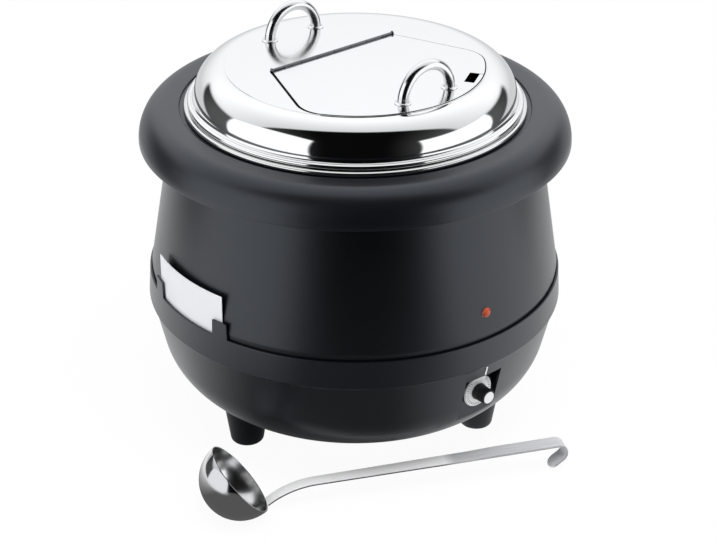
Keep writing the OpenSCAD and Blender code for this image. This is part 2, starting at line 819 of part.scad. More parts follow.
module lid_shell() {
    color(steel) rotate([0, 0, lid_turn]) difference() {
        union() {
            difference() {
                lid_sheet();
                translate([0, 0, ledge_z]) linear_extrude(height = lid_top_z - ledge_z + cut)
                    polygon(hatch(flap_gap, hatch_back));
            }
            translate([0, 0, ledge_z - sheet]) linear_extrude(height = flap_under_z - ledge_z + sheet)
                difference() {
                    polygon(hatch(flap_gap + rim_t, hatch_back + rim_t));
                    polygon(hatch(flap_gap, hatch_back));
                }
            translate([0, 0, ledge_z - sheet]) linear_extrude(height = sheet) difference() {
                polygon(hatch(flap_gap, hatch_back));
                polygon(hatch(-ledge_w, hatch_back));
            }
            for (side = [-1, 1]) {
                hinge_tube(barrel_r, side*(hinge_half_w + barrel_half_l)/2 - (barrel_end - barrel_gap)/2,
                           side*(hinge_half_w + barrel_half_l)/2 + (barrel_end - barrel_gap)/2);
                translate([side*(hinge_half_w + barrel_half_l)/2 - (barrel_end - barrel_gap)/2,
                           hinge_back, flap_under_z])
                    cube([barrel_end - barrel_gap, hatch_back - hinge_back + rim_t, sheet]);
            }
        }
        hinge_tube(hinge_pin_r + run_gap, -hinge_half_w - cut, hinge_half_w + cut);
        for (side = [-1, 1])
            translate([side*handle_w/2, lid_handle_y, flap_under_z - cut])
                cylinder(r = handle_stud_r + hole_gap, h = sheet + 2*cut);
        rotate([0, 0, slot_place])
            translate([-slot_l/2 - flap_gap, -slot_r - slot_w/2 - flap_gap, ledge_z - sheet - cut])
                cube([slot_l + 2*flap_gap, slot_w + ledge_w, sheet + cut + ledge_drop/2]);
    }
}

module hinge_pin() {
    color(dull_steel) rotate([0, 0, lid_turn]) {
        hinge_tube(hinge_pin_r, -hinge_half_w, hinge_half_w);
        for (side = [-1, 1])
            hinge_tube(hinge_head_r, side*(hinge_half_w + hinge_head_l/2) - hinge_head_l/2,
                       side*(hinge_half_w + hinge_head_l/2) + hinge_head_l/2);
    }
}

// A bent tube on two legs, with a threaded stud under each leg
module arch(y) {
    color(steel) rotate([0, 0, lid_turn]) translate([0, y, lid_top_z]) {
        translate([0, 0, handle_leg]) rotate([90, 0, 0]) rotate_extrude(angle = 180)
            translate([handle_w/2, 0]) circle(r = handle_r);
        for (side = [-1, 1]) translate([side*handle_w/2, 0, 0]) {
            cylinder(r = handle_r, h = handle_leg);
            translate([0, 0, -sheet - handle_nut_h - hinge_head_l])
                cylinder(r = handle_stud_r, h = sheet + handle_nut_h + hinge_head_l);
        }
    }
}

module arch_collars(y) {
    color(steel) rotate([0, 0, lid_turn]) for (side = [-1, 1])
        translate([side*handle_w/2, y, lid_top_z]) difference() {
            cylinder(r = handle_collar_r, h = handle_collar_h);
            translate([0, 0, -cut]) cylinder(r = handle_r + run_gap, h = handle_collar_h + 2*cut);
        }
}

module arch_nuts(y) {
    color(dull_steel) rotate([0, 0, lid_turn]) for (side = [-1, 1])
        translate([side*handle_w/2, y, flap_under_z - handle_nut_h]) difference() {
            cylinder(r = handle_nut_r, h = handle_nut_h, $fn = 6);
            translate([0, 0, -cut]) cylinder(r = handle_stud_r + run_gap, h = handle_nut_h + 2*cut);
        }
}

module lid_handle() { arch(lid_handle_y); }
module lid_handle_collars() { arch_collars(lid_handle_y); }
module lid_handle_nuts() { arch_nuts(lid_handle_y); }
module flap_handle() { arch(flap_handle_y); }
module flap_handle_collars() { arch_collars(flap_handle_y); }
module flap_handle_nuts() { arch_nuts(flap_handle_y); }

module flap_panel() {
    color(steel) rotate([0, 0, lid_turn]) difference() {
        union() {
            translate([0, 0, flap_under_z]) linear_extrude(height = sheet) polygon(hatch(0, hinge_back));
            hinge_tube(barrel_r, -barrel_half_l, barrel_half_l);
        }
        for (x = [-hinge_half_w - cut, barrel_half_l])
            translate([x, hinge_back - barrel_r - barrel_gap, flap_under_z - cut])
                cube([barrel_end + cut, barrel_r + barrel_gap + cut, sheet + 2*cut]);
        hinge_tube(hinge_pin_r + run_gap, -hinge_half_w - cut, hinge_half_w + cut);
        for (side = [-1, 1])
            translate([side*handle_w/2, flap_handle_y, flap_under_z - cut])
                cylinder(r = handle_stud_r + hole_gap, h = sheet + 2*cut);
        rotate([0, 0, slot_place]) translate([-slot_l/2, -slot_r - slot_w/2, flap_under_z - cut]) {
            cube([slot_l, slot_w, sheet + 2*cut]);
            translate([slot_l - slit_w, -slot_edge - cut, 0])
                cube([slit_w, slot_edge + 2*cut, sheet + 2*cut]);
        }
    }
}

// Turned pieces on the dial's axis, from an outline of radius and distance
module on_dial_axis(y) {
    translate([0, -y, dial_z]) rotate([90, 0, 0]) children();
}

module dial_skirt() {
    color(steel) on_dial_axis(skirt_y) difference() {
        rotate_extrude() polygon([
            [0, 0], [dial_r, 0], [dial_r, skirt_t - skirt_bevel],
            [dial_r - skirt_bevel, skirt_t], [0, skirt_t]
        ]);
        translate([0, 0, -cut]) cylinder(r = shaft_r + run_gap, h = skirt_t + 2*cut);
    }
}

module knob() {
    color(soft_black) on_dial_axis(knob_y) difference() {
        rotate_extrude() polygon([
            [0, 0], [knob_r, 0], [knob_r - knob_draft, knob_l - knob_edge],
            [knob_r - knob_draft - knob_edge, knob_l], [0, knob_l]
        ]);
        translate([0, 0, -cut]) cylinder(r = shaft_r + run_gap, h = shaft_in_knob + cut);
        translate([0, 0, knob_l - cap_sink]) cylinder(r = cap_r + run_gap, h = cap_sink + cut);
    }
}

module knob_cap() {
    color(steel) on_dial_axis(knob_y + knob_l - cap_sink) cylinder(r = cap_r, h = cap_t);
}

module thermostat_shaft() {
    color(dull_steel) rod(shaft_r, stat_y - shaft_sink, knob_y + shaft_in_knob, z = dial_z);
}

module label_card() {
    color("white") sector(card_place, card_half_turn)
        translate([card_r - card_t, card_low_z]) square([card_t, card_top_z - card_low_z]);
}

// Places a piece that is drawn along its own handle where the ladle lies
module on_table() {
    translate([ladle_place[0], ladle_place[1], 0]) rotate([0, 0, ladle_turn]) children();
}

module ladle_bowl() {
    color(steel) on_table() translate([0, 0, ladle_r]) rotate([0, 90 - ladle_tilt, 0]) difference() {
        sphere(r = ladle_r);
        sphere(r = ladle_r - sheet);
        translate([-ladle_r - cut, -ladle_r - cut, 0]) cube([2*(ladle_r + cut), 2*(ladle_r + cut), ladle_r + cut]);
    }
}

// Centre line of the strap: neck, straight run, hook and tail, each point with its heading
neck_line = [for (i = [0:arc_n]) let (a = neck_start + (strap_rise - neck_start)*i/arc_n) [
    ladle_low[0] + neck_r_strap*(sin(neck_start) - sin(a)),
    ladle_low[1] + neck_r_strap*(cos(a) - cos(neck_start)), a
]];
hook_line = [for (i = [0:arc_n]) let (a = -hook_turn*i/arc_n) [
    strap_end[0] - hook_r*sin(a), strap_end[1] - hook_r*(1 - cos(a)), a
]];
hook_end = hook_line[arc_n];
tail_line = [[hook_end[0] + hook_tail*cos(hook_turn), hook_end[1] - hook_tail*sin(hook_turn), -hook_turn]];

module ladle_handle() {
    color(steel) on_table() difference() {
        translate([0, strap_w/2, 0]) rotate([90, 0, 0]) linear_extrude(height = strap_w)
            polygon(strip(concat(neck_line, hook_line, tail_line), strap_t));
        translate([0, 0, ladle_r]) sphere(r = ladle_r + run_gap);
    }
}

collar_ring();
upper_shell();
lower_shell();
foot_left();
foot_front();
foot_rear();
foot_screws();
foot_nuts();
base_plate();
base_screws();
water_pan();
heater_plate();
heating_element();
element_bracket();
bracket_nut();
thermostat();
thermostat_nut();
thermal_cutout();
terminal_block();
wiring();
lamp_lens();
lamp_body();
lamp_clip();
pointer_mark();
cable_gland();
gland_nut();
insert_pot();
lid_shell();
hinge_pin();
lid_handle();
lid_handle_collars();
lid_handle_nuts();
flap_panel();
flap_handle();
flap_handle_collars();
flap_handle_nuts();
dial_skirt();
knob();
knob_cap();
thermostat_shaft();
label_card();
ladle_bowl();
ladle_handle();
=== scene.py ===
import json
from math import asin, atan2, copysign, cos, degrees, dist, hypot, pi, radians, sin, sqrt, tan

import bmesh
import bpy
from mathutils import Matrix, Quaternion, Vector


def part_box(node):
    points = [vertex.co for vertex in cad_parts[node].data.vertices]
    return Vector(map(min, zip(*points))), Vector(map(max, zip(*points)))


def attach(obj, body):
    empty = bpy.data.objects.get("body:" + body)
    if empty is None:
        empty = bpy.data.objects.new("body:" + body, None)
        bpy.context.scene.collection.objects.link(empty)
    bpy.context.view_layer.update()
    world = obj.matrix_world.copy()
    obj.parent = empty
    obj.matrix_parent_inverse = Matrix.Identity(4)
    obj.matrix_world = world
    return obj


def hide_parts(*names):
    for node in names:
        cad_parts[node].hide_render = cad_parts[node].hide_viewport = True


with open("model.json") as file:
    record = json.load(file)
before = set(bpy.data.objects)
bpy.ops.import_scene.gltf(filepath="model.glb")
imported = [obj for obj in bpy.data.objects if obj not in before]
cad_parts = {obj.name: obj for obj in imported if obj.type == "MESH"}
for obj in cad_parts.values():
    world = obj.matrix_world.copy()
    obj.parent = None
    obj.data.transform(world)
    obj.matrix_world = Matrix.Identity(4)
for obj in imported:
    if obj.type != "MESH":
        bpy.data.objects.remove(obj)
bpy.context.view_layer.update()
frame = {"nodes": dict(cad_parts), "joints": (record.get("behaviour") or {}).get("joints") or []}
mm = 0.001
print("frame loaded:", len(frame["nodes"]), "nodes")


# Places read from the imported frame
def low(node):
    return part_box(node)[0]


def high(node):
    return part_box(node)[1]


def reach(node):
    return max(high(node).x, high(node).y)  # of a turned piece


def middle(node):
    return (low(node) + high(node)) / 2


def depth(node):
    return high(node).y - low(node).y


class Sizes:  # a piece's settings, in metres or in another unit
    def __init__(self, settings, unit=mm):
        for key, value in settings.items():
            setattr(self, key, value * unit)


joints = {j["name"]: j for j in frame["joints"]}
hingeAxis = Vector(joints["flap_hinge"]["axis"])
lidTurn = atan2(-hingeAxis.y, -hingeAxis.x)  # how far the lid is turned on the pot
lidSpin = Matrix.Rotation(lidTurn, 4, "Z")
ladlePlace = Vector(joints["ladle_pick"]["pos_m"])


# Shader and geometry maths
def maths(operation, turned=False):  # a Math node as a method of Wire
    def method(self, *others):
        values = (*others, self) if turned else (self, *others)
        return self.graph.add("ShaderNodeMath", dict(enumerate(values)), {"operation": operation})
    return method


class Wire:  # a socket's value, with Python's operators
    __add__, __radd__ = maths("ADD"), maths("ADD", True)
    __sub__, __rsub__ = maths("SUBTRACT"), maths("SUBTRACT", True)
    __mul__, __rmul__ = maths("MULTIPLY"), maths("MULTIPLY", True)
    __truediv__, __pow__ = maths("DIVIDE"), maths("POWER")
    smaller, larger = maths("MINIMUM"), maths("MAXIMUM")
    sine, cosine, arcsine = maths("SINE"), maths("COSINE"), maths("ARCSINE")
    bearing, absolute = maths("ARCTAN2"), maths("ABSOLUTE")

    def __init__(self, graph, socket):
        self.graph, self.socket = graph, socket

    def clamped(self):
        return self.larger(0).smaller(1)

    def ramp(self, first, run):  # from nought at the first value to one after the run
        return ((self - first) / run).clamped()

    def falling(self, middle, soft):  # one below a value, nought above it
        return self.ramp(middle + soft / 2, -soft)

    def within(self, first, last, soft):  # one between two values, with soft edges
        return self.ramp(first, soft) * self.ramp(last, -soft)


class Graph:  # adds nodes to one tree
    def __init__(self, tree):
        self.tree = tree

    def add(self, kind, sockets=None, settings=None, output=0):
        node = self.tree.nodes.new(kind)
        for key, value in (settings or {}).items():
            setattr(node, key, value)
        for key, value in (sockets or {}).items():
            self.feed(node.inputs[key], value)
        return Wire(self, node.outputs[output])

    def feed(self, socket, value):
        if isinstance(value, Wire):
            self.tree.links.new(value.socket, socket)
        else:
            socket.default_value = value

    def also(self, wire, output):  # another output of the same node
        return Wire(self, wire.socket.node.outputs[output])

    def split(self, vector):
        x = self.add("ShaderNodeSeparateXYZ", {0: vector})
        return x, self.also(x, 1), self.also(x, 2)

    def vector(self, x, y, z):
        return self.add("ShaderNodeCombineXYZ", {0: x, 1: y, 2: z})

    def mixed(self, factor, a, b):
        return self.add("ShaderNodeMixShader", {0: factor, 1: a, 2: b})


class Finish(Graph):  # one material with a Principled shader
    def __init__(self, name, **constants):
        self.material = bpy.data.materials.new(name)
        self.material.use_nodes = True
        super().__init__(self.material.node_tree)
        self.shader = self.tree.nodes["Principled BSDF"]
        for key, value in constants.items():
            self.shader.inputs[key.replace("_", " ")].default_value = value
        self.place = self.add("ShaderNodeTexCoord", output="Object")

    def noise(self, scale, detail=3, rough=0.5, at=None):
        sockets = {"Vector": at or self.place, "Scale": scale, "Detail": detail, "Roughness": rough}
        return self.add("ShaderNodeTexNoise", sockets)

    def stretched(self, x, y, z, turn=0):  # turned, then squeezed along each axis
        sockets = {"Vector": self.place, "Angle": -turn}
        turned = self.add("ShaderNodeVectorRotate", sockets, {"rotation_type": "Z_AXIS"})
        return self.add("ShaderNodeVectorMath", {0: turned, 1: (x, y, z)}, {"operation": "MULTIPLY"})

    def blend(self, factor, a, b):
        a, b = (c if isinstance(c, Wire) else (*c, 1) for c in (a, b))
        settings = {"data_type": "RGBA", "clamp_factor": True}
        return self.add("ShaderNodeMix", {0: factor, 6: a, 7: b}, settings, 2)

    def made(self, colour, roughness, height, strength, distance):  # the last three are for the bump
        bump = self.add("ShaderNodeBump", {"Height": height, "Strength": strength, "Distance": distance * mm})
        for socket, value in (("Base Color", colour), ("Roughness", roughness), ("Normal", bump)):
            self.feed(self.shader.inputs[socket], value)
        return self.material


# Finishes
ladle = {"tilt": 39, "heading": -23.5, "sheet": 1.2, "lip": 0.4, "neckBend": 78, "neckStart": 37, "rise": 1.3,
         "reach": 300, "endHeight": 28, "hookBend": 9, "hookTurn": 142, "hookTail": 15, "width": 16,
         "thick": 2, "neckWidth": 13, "widenFor": 190, "crown": 1.1, "flatFrom": 195, "flatFor": 25,
         "edge": 0.45, "tip": 0.05}


def mouldedBlack(name, dark, light, grain, roughness, shine=0.78):
    f = Finish(name, Specular_IOR_Level=shine, Specular_Tint=(0.84, 0.91, 1, 1))
    fine, broad = f.noise(1 / (grain * mm), 2, 0.6), f.noise(9, 4, 0.55)
    colour = f.blend((fine * 0.55 + broad * 0.6 - 0.1).clamped(), dark, light)
    return f.made(colour, roughness + (broad - 0.5) * 0.10 + (fine - 0.5) * 0.12, fine, 0.35, 0.16)


def polishedSteel(name, tint, roughness, rings):
    f = Finish(name, Metallic=1)
    x, y, z = f.split(f.place)
    radius = (x * x + y * y) ** 0.5
    polish = f.noise(1, 2, 0.6, f.vector(radius * rings, z * rings, 0))  # faint rings left by polishing
    smears = f.noise(14, 4, 0.6)
    colour = f.blend((polish * 0.5 + smears * 0.5).clamped(), tint, tuple(min(1, c * 1.05) for c in tint))
    return f.made(colour, roughness + (polish - 0.5) * 0.02 + (smears - 0.45).larger(0) * 0.10, polish, 0.02, 0.05)


def brushedSteel(name, tint, roughness, turn, fine, metallic=1):
    f = Finish(name, Metallic=metallic)
    lines = f.noise(1, 3, 0.6, f.stretched(fine * 0.02, fine, fine, turn))
    broad = f.noise(20)
    colour = f.blend((lines * 0.7 + broad * 0.3).clamped(), tuple(c * 0.86 for c in tint), tint)
    return f.made(colour, roughness + (lines - 0.5) * 0.22 + (broad - 0.5) * 0.06, lines, 0.10, 0.05)


def strapSteel(name, roughness):  # crowned near the bowl, with a painted near-white reflection and painted shade along the near edge, then flat and brushed
    f, s, turn = Finish(name, Metallic=0.10), Sizes(ladle), radians(ladle["heading"])
    lines = f.noise(1, 3, 0.6, f.stretched(18, 900, 900, turn))
    x, y = (wire - start for wire, start in zip(f.split(f.place), ladlePlace.xy))
    along, across = x * cos(turn) + y * sin(turn), y * cos(turn) - x * sin(turn)
    flat = along.ramp(s.flatFrom - 5 * mm, 10 * mm)
    half = (along.ramp(0, s.widenFor) * (s.width - s.neckWidth) + s.neckWidth) / 2
    edge = (across + half).ramp(1.2 * mm, -0.6 * mm) * (1.0 - flat * 0.6)  # painted shade, darker along the near edge
    tone = (lines - 0.5) * (0.25 + flat * 0.5) + flat * 0.75 + 0.1
    # near-white on the crown is a painted reflection; the flat brushed part is grey
    colour = f.blend(tone.clamped(), (0.97, 0.97, 0.97), (0.50, 0.50, 0.52))
    colour = f.blend(edge, colour, (0.06, 0.06, 0.065))
    return f.made(colour, roughness + flat * 0.06 + (lines - 0.5) * 0.20, lines, 0.10, 0.05)


def ladleSteel(name):  # darker outside by painted shade, paler and less smooth in the cup
    f = Finish(name, Metallic=1)
    away = f.add("ShaderNodeVectorMath", {0: f.place, 1: tuple(ladlePlace)}, {"operation": "DISTANCE"}, "Value")
    inside = away.falling(ladlePlace.z - ladle["sheet"] / 2 * mm, 0.2 * mm)
    polish = f.noise(60, 3, 0.6)
    # the outside's darker tint is painted shade; the cup keeps the steel's own tint
    colour = f.blend((inside + (polish - 0.5) * 0.2).clamped(), (0.60, 0.60, 0.61), (0.90, 0.90, 0.90))
    return f.made(colour, 0.11 + inside * 0.10 + (polish - 0.5) * 0.05, polish, 0.02, 0.05)


def plainPlastic(name, dark, light, roughness):
    f = Finish(name)
    fine, broad = f.noise(1 / (1.2 * mm), 2), f.noise(40)
    colour = f.blend((fine * 0.5 + broad * 0.5).clamped(), dark, light)
    return f.made(colour, roughness + (fine - 0.5) * 0.15, fine, 0.25, 0.10)


def lensOrange(name):
    f = Finish(name, Transmission_Weight=0.35, IOR=1.45, Coat_Weight=0.4)
    cells = f.add("ShaderNodeTexVoronoi", {"Vector": f.place, "Scale": 900})
    colour = f.blend(cells, (0.78, 0.13, 0.045), (0.45, 0.05, 0.02))
    return f.made(colour, 0.18 + cells * 0.2, cells, 0.5, 0.2)


def paperCard(name):
    f = Finish(name)
    fibre, tone = f.noise(700, 4, 0.65, f.stretched(1, 1, 0.35)), f.noise(25)
    colour = f.blend((fibre * 0.5 + tone * 0.5).clamped(), (0.88, 0.88, 0.905), (0.95, 0.95, 0.97))
    return f.made(colour, 0.55 + (fibre - 0.5) * 0.2, fibre, 0.2, 0.06)


finishes = {
    "shell": mouldedBlack("shellBlack", (0.0020, 0.0022, 0.0032), (0.0042, 0.0046, 0.0062), 0.9, 0.34),
    "drum": mouldedBlack("drumBlack", (0.0010, 0.0011, 0.0016), (0.0024, 0.0026, 0.0036), 0.7, 0.35),
    "foot": mouldedBlack("footBlack", (0.0025, 0.0027, 0.0034), (0.0050, 0.0054, 0.0064), 1.1, 0.46, 0.30),
    "mirror": polishedSteel("mirrorSteel", (0.82, 0.82, 0.815), 0.055, 1500),
    "panel": polishedSteel("panelSteel", (0.82, 0.82, 0.82), 0.13, 1100),
    # painted shade: the ledge and rim under the hatch gap are near-black steel, so the gap round the flap reads dark
    "seam": brushedSteel("seamSteel", (0.014, 0.014, 0.015), 0.60, 0.3, 600),
    # painted shade: the hinge ears, pin and barrel are steel darkened so the hinge reads as a dark line
    "hinge": brushedSteel("hingeSteel", (0.22, 0.22, 0.23), 0.36, 0.04, 700),
    "potSteel": polishedSteel("potSteel", (0.74, 0.74, 0.73), 0.13, 900),
    "panSteel": polishedSteel("panSteel", (0.60, 0.60, 0.59), 0.30, 700),
    "strap": strapSteel("strapSteel", 0.42),
    "ladle": ladleSteel("ladleSteel"),
    "handle": polishedSteel("handleSteel", (0.80, 0.80, 0.80), 0.15, 1200),
    "satin": brushedSteel("dialSteel", (0.93, 0.93, 0.94), 0.36, 0, 900, 0.15),
    "zinc": brushedSteel("zincPlate", (0.55, 0.56, 0.57), 0.36, 0.4, 500),
    "plate": brushedSteel("heaterAluminium", (0.66, 0.67, 0.68), 0.40, 0.2, 500),
    "sheath": brushedSteel("elementSheath", (0.26, 0.24, 0.22), 0.45, 0.9, 400),
    "knob": plainPlastic("knobBlack", (0.004, 0.004, 0.0045), (0.008, 0.008, 0.009), 0.40),
    "gland": plainPlastic("glandBlack", (0.012, 0.012, 0.013), (0.026, 0.026, 0.028), 0.50),
    "ivory": plainPlastic("ivoryPlastic", (0.62, 0.58, 0.49), (0.72, 0.69, 0.60), 0.45),
    "wire": plainPlastic("wireRed", (0.30, 0.03, 0.025), (0.42, 0.06, 0.05), 0.40),
    "print": plainPlastic("markWhite", (0.78, 0.78, 0.78), (0.90, 0.90, 0.90), 0.40),
    "ink": plainPlastic("dialInk", (0.03, 0.03, 0.035), (0.06, 0.06, 0.065), 0.50),
    "lens": lensOrange("lampOrange"),
    "card": paperCard("cardWhite"),
}
print("finishes made:", len(finishes))


# Mesh helpers
def arcPoints(centre, r, start, end, steps, rise=None):  # rise is the upright radius, where it differs
    angles = [radians(start + (end - start) * i / steps) for i in range(steps + 1)]
    return [(centre[0] + r * cos(a), centre[1] + (rise or r) * sin(a)) for a in angles]


def rolledEdge(centre, r, first, last):  # a bead with a narrow flat that faces up and out
    flatFirst, flatLast, flatEdge, step = 408, 448, 0.08, 6
    before = arcPoints(centre, r, first, flatFirst, 28)
    after = arcPoints(centre, r, flatLast, last, max(1, int((last - flatLast) / step)))
    (r0, z0), (r1, z1) = before[-1], after[0]
    return before + [(r0 + (r1 - r0) * u, z0 + (z1 - z0) * u) for u in (flatEdge, 1 - flatEdge)] + after


def rounded(corners, closed=True, steps=6):  # corners are (r, z, fillet)
    out = []
    for i, (r, z, fillet) in enumerate(corners):
        end = not closed and i in (0, len(corners) - 1)
        if fillet <= 0 or end:
            out.append((r, z))
            continue
        here = Vector((r, z))
        a = Vector(corners[i - 1][:2]) - here
        b = Vector(corners[(i + 1) % len(corners)][:2]) - here
        half = a.angle(b) / 2
        run = min(fillet / tan(half), 0.49 * a.length, 0.49 * b.length)
        a.normalize()
        b.normalize()
        centre = here + (a + b).normalized() * (run * tan(half) / sin(half))
        v0, v1 = here + a * run - centre, here + b * run - centre
        sweep = v0.angle(v1)
        for k in range(steps + 1):
            u = k / steps
            v = v0 * (sin((1 - u) * sweep) / sin(sweep)) + v1 * (sin(u * sweep) / sin(sweep))
            out.append(tuple(centre + v))
    return out


def evenTurns(count):
    return [2 * pi * i / count for i in range(count)]


def spun(t, r, z):  # a place at a turn from the dial's side
    return r * sin(t), -r * cos(t), z


def linked(name, data):
    obj = bpy.data.objects.new(name, data)
    bpy.context.scene.collection.objects.link(obj)
    return obj


def objectOf(name, bm):
    mesh = bpy.data.meshes.new(name)
    bm.to_mesh(mesh)
    bm.free()
    return linked(name, mesh)


def meshFrom(name, bm, sharpAngle=32, flats=False):  # flats keeps the border of a level face sharp
    bmesh.ops.remove_doubles(bm, verts=bm.verts, dist=2e-6)
    bmesh.ops.recalc_face_normals(bm, faces=bm.faces)
    for face in bm.faces:
        face.smooth = True
    for edge in bm.edges:
        level = {abs(face.normal.z) > 0.9999 for face in edge.link_faces}
        edge.smooth = edge.calc_face_angle(0) < radians(sharpAngle) and not (flats and len(level) == 2)
    return objectOf(name, bm)


def gridMesh(name, rows, closeRows=True, closeColumns=True, place=None, sharpAngle=32):  # rows joined by quads
    bm = bmesh.new()
    made = [[bm.verts.new(p) for p in row] for row in rows]
    rowCount, columnCount = len(rows), len(rows[0])
    for i in range(rowCount if closeRows else rowCount - 1):
        for j in range(columnCount if closeColumns else columnCount - 1):
            a, b, k = made[i], made[(i + 1) % rowCount], (j + 1) % columnCount
            bm.faces.new((a[j], b[j], b[k], a[k]))
    if not closeRows:  # a strip gets flat ends
        bmesh.ops.holes_fill(bm, edges=[e for e in bm.edges if e.is_boundary], sides=0)
    if place is not None:
        bmesh.ops.transform(bm, matrix=place, verts=bm.verts)
    return meshFrom(name, bm, sharpAngle)


def lathe(name, profile, count=256, closed=True, place=None):
    return gridMesh(name, [[spun(t, r, z) for r, z in profile] for t in evenTurns(count)], True, closed, place)


def block(name, size, lift=0):
    bm = bmesh.new()
    bmesh.ops.create_cube(bm, size=1.0)
    place = Matrix.Translation((0, 0, lift)) @ Matrix.Diagonal((*size, 1))
    bmesh.ops.transform(bm, matrix=place, verts=bm.verts)
    return meshFrom(name, bm)


def joined(name, *objs):
    bm = bmesh.new()
    for obj in objs:
        bm.from_mesh(obj.data)
        bpy.data.objects.remove(obj)
    return objectOf(name, bm)


def evaluated(*objs):  # the first one's final mesh, and all are dropped
    graph = bpy.context.evaluated_depsgraph_get()
    bm = bmesh.new()
    bm.from_mesh(bpy.data.meshes.new_from_object(objs[0].evaluated_get(graph)))
    for obj in objs:
        bpy.data.objects.remove(obj)
    return bm


def plate(name, loops, z, thick, bevel):  # flat sheet with holes and softened edges
    curve = bpy.data.curves.new(name, "CURVE")
    curve.dimensions = "2D"
    curve.fill_mode = "BOTH"
    curve.extrude = (thick / 2 - bevel) / mm  # in millimetres until it is a mesh
    curve.bevel_depth = bevel / mm
    curve.bevel_resolution = 2
    curve.offset = -bevel / mm
    for loop in loops:
        spline = curve.splines.new("POLY")
        spline.points.add(len(loop) - 1)
        spline.use_cyclic_u = True
        for point, (x, y) in zip(spline.points, loop):
            point.co = (x / mm, y / mm, 0, 1)
    bm = evaluated(linked(name, curve))
    bmesh.ops.scale(bm, verts=bm.verts, vec=(mm, mm, mm))
    bmesh.ops.translate(bm, verts=bm.verts, vec=(0, 0, z + thick / 2))
    return meshFrom(name, bm, 40, True)


def moved(obj, matrix):
    obj.data.transform(matrix)
    obj.data.update()
    return obj


def dress(obj, finish, body, slotName, *nodes):
    obj.data.materials.clear()
    obj.data.materials.append(finishes[finish])
    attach(obj, body)
    if nodes:
        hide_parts(*nodes)
    return obj


# Geometry Nodes helpers
def nodeTree(name, inputs):
    tree = bpy.data.node_groups.new(name, "GeometryNodeTree")
    ids = {}
    for label, kind in inputs.items():
        socket = tree.interface.new_socket(label, in_out="INPUT", socket_type="NodeSocket" + kind)
        ids[label] = socket.identifier
    tree.interface.new_socket("Geometry", in_out="OUTPUT", socket_type="NodeSocketGeometry")
    graph, source = Graph(tree), tree.nodes.new("NodeGroupInput")
    return graph, ids, {label: Wire(graph, source.outputs[label]) for label in inputs}


def endTree(graph, geometry, material):
    real = graph.add("GeometryNodeRealizeInstances", {0: geometry})
    shown = graph.add("GeometryNodeSetMaterial", {"Geometry": real, "Material": material})
    graph.feed(graph.tree.nodes.new("NodeGroupOutput").inputs[0], shown)
    return graph.tree


def grown(name, nodes, values, finish, sharpAngle=32):
    tree, ids = nodes
    holder = linked(name, bpy.data.meshes.new(name))
    modifier = holder.modifiers.new(name, "NODES")
    modifier.node_group = tree
    for label, value in {**values, "Material": finishes[finish]}.items():
        modifier[ids[label]] = value
    return meshFrom(name, evaluated(holder), sharpAngle)


def ringTree():  # copies of one item round a circle, each facing out
    inputs = {"Item": "Object", "Count": "Int", "Radius": "Float", "First": "Float", "Sweep": "Float",
              "Material": "Material"}
    g, ids, wire = nodeTree("ringOfItems", inputs)
    turn = wire["First"] + g.add("GeometryNodeInputIndex") * wire["Sweep"] / wire["Count"]
    spot = g.vector(turn.sine() * wire["Radius"], turn.cosine() * wire["Radius"] * -1, 0)
    points = g.add("GeometryNodePoints", {"Count": wire["Count"], "Position": spot})
    item = g.add("GeometryNodeObjectInfo", {"Object": wire["Item"]}, None, "Geometry")
    sockets = {"Points": points, "Instance": item, "Rotation": g.vector(0, 0, turn)}
    return endTree(g, g.add("GeometryNodeInstanceOnPoints", sockets), wire["Material"]), ids


def archTree():  # a tube bent into an arch on two short legs
    g, ids, wire = nodeTree("archedTube", {"Span": "Float", "Leg": "Float", "Tube": "Float", "Material": "Material"})
    leg, bend = wire["Leg"], wire["Span"] * 0.5
    line = g.add("GeometryNodeCurvePrimitiveLine", {"Start": (0, 0, 0), "End": (1, 0, 0)})
    fine = g.add("GeometryNodeResampleCurve", {"Curve": line, "Count": 97})
    along = g.add("GeometryNodeSplineParameter", None, None, "Factor") * (bend * pi + leg * 2)
    angle = ((along - leg) / bend).larger(0).smaller(pi)
    up = along.smaller(leg) - (along - leg - bend * pi).larger(0)
    spot = g.vector(angle.cosine() * bend * -1, 0, up + angle.sine() * bend)
    path = g.add("GeometryNodeSetPosition", {"Geometry": fine, "Position": spot})
    ring = g.add("GeometryNodeCurvePrimitiveCircle", {"Resolution": 40, "Radius": wire["Tube"]})
    tube = g.add("GeometryNodeCurveToMesh", {"Curve": path, "Profile Curve": ring, "Fill Caps": True})
    return endTree(g, tube, wire["Material"]), ids


ringNodes, archNodes = ringTree(), archTree()
print("node trees made")


def ringOf(name, item, count, radius, first, finish, sweep=2 * pi):
    values = {"Item": item, "Count": count, "Radius": radius, "First": first, "Sweep": sweep}
    made = grown(name, ringNodes, values, finish)
    bpy.data.objects.remove(item)
    return made


# Collar
collar = {"shoulderWidth": 24, "wall": 4, "seatDrop": 2, "seatRadius": 161, "seatBend": 0.5, "edge": 1.8,
          "mouthRadius": 147, "neckRadius": 170.4, "neckWall": 2.5, "neckDepth": 18, "neckBend": 0.8, "neckEdge": 0.4}


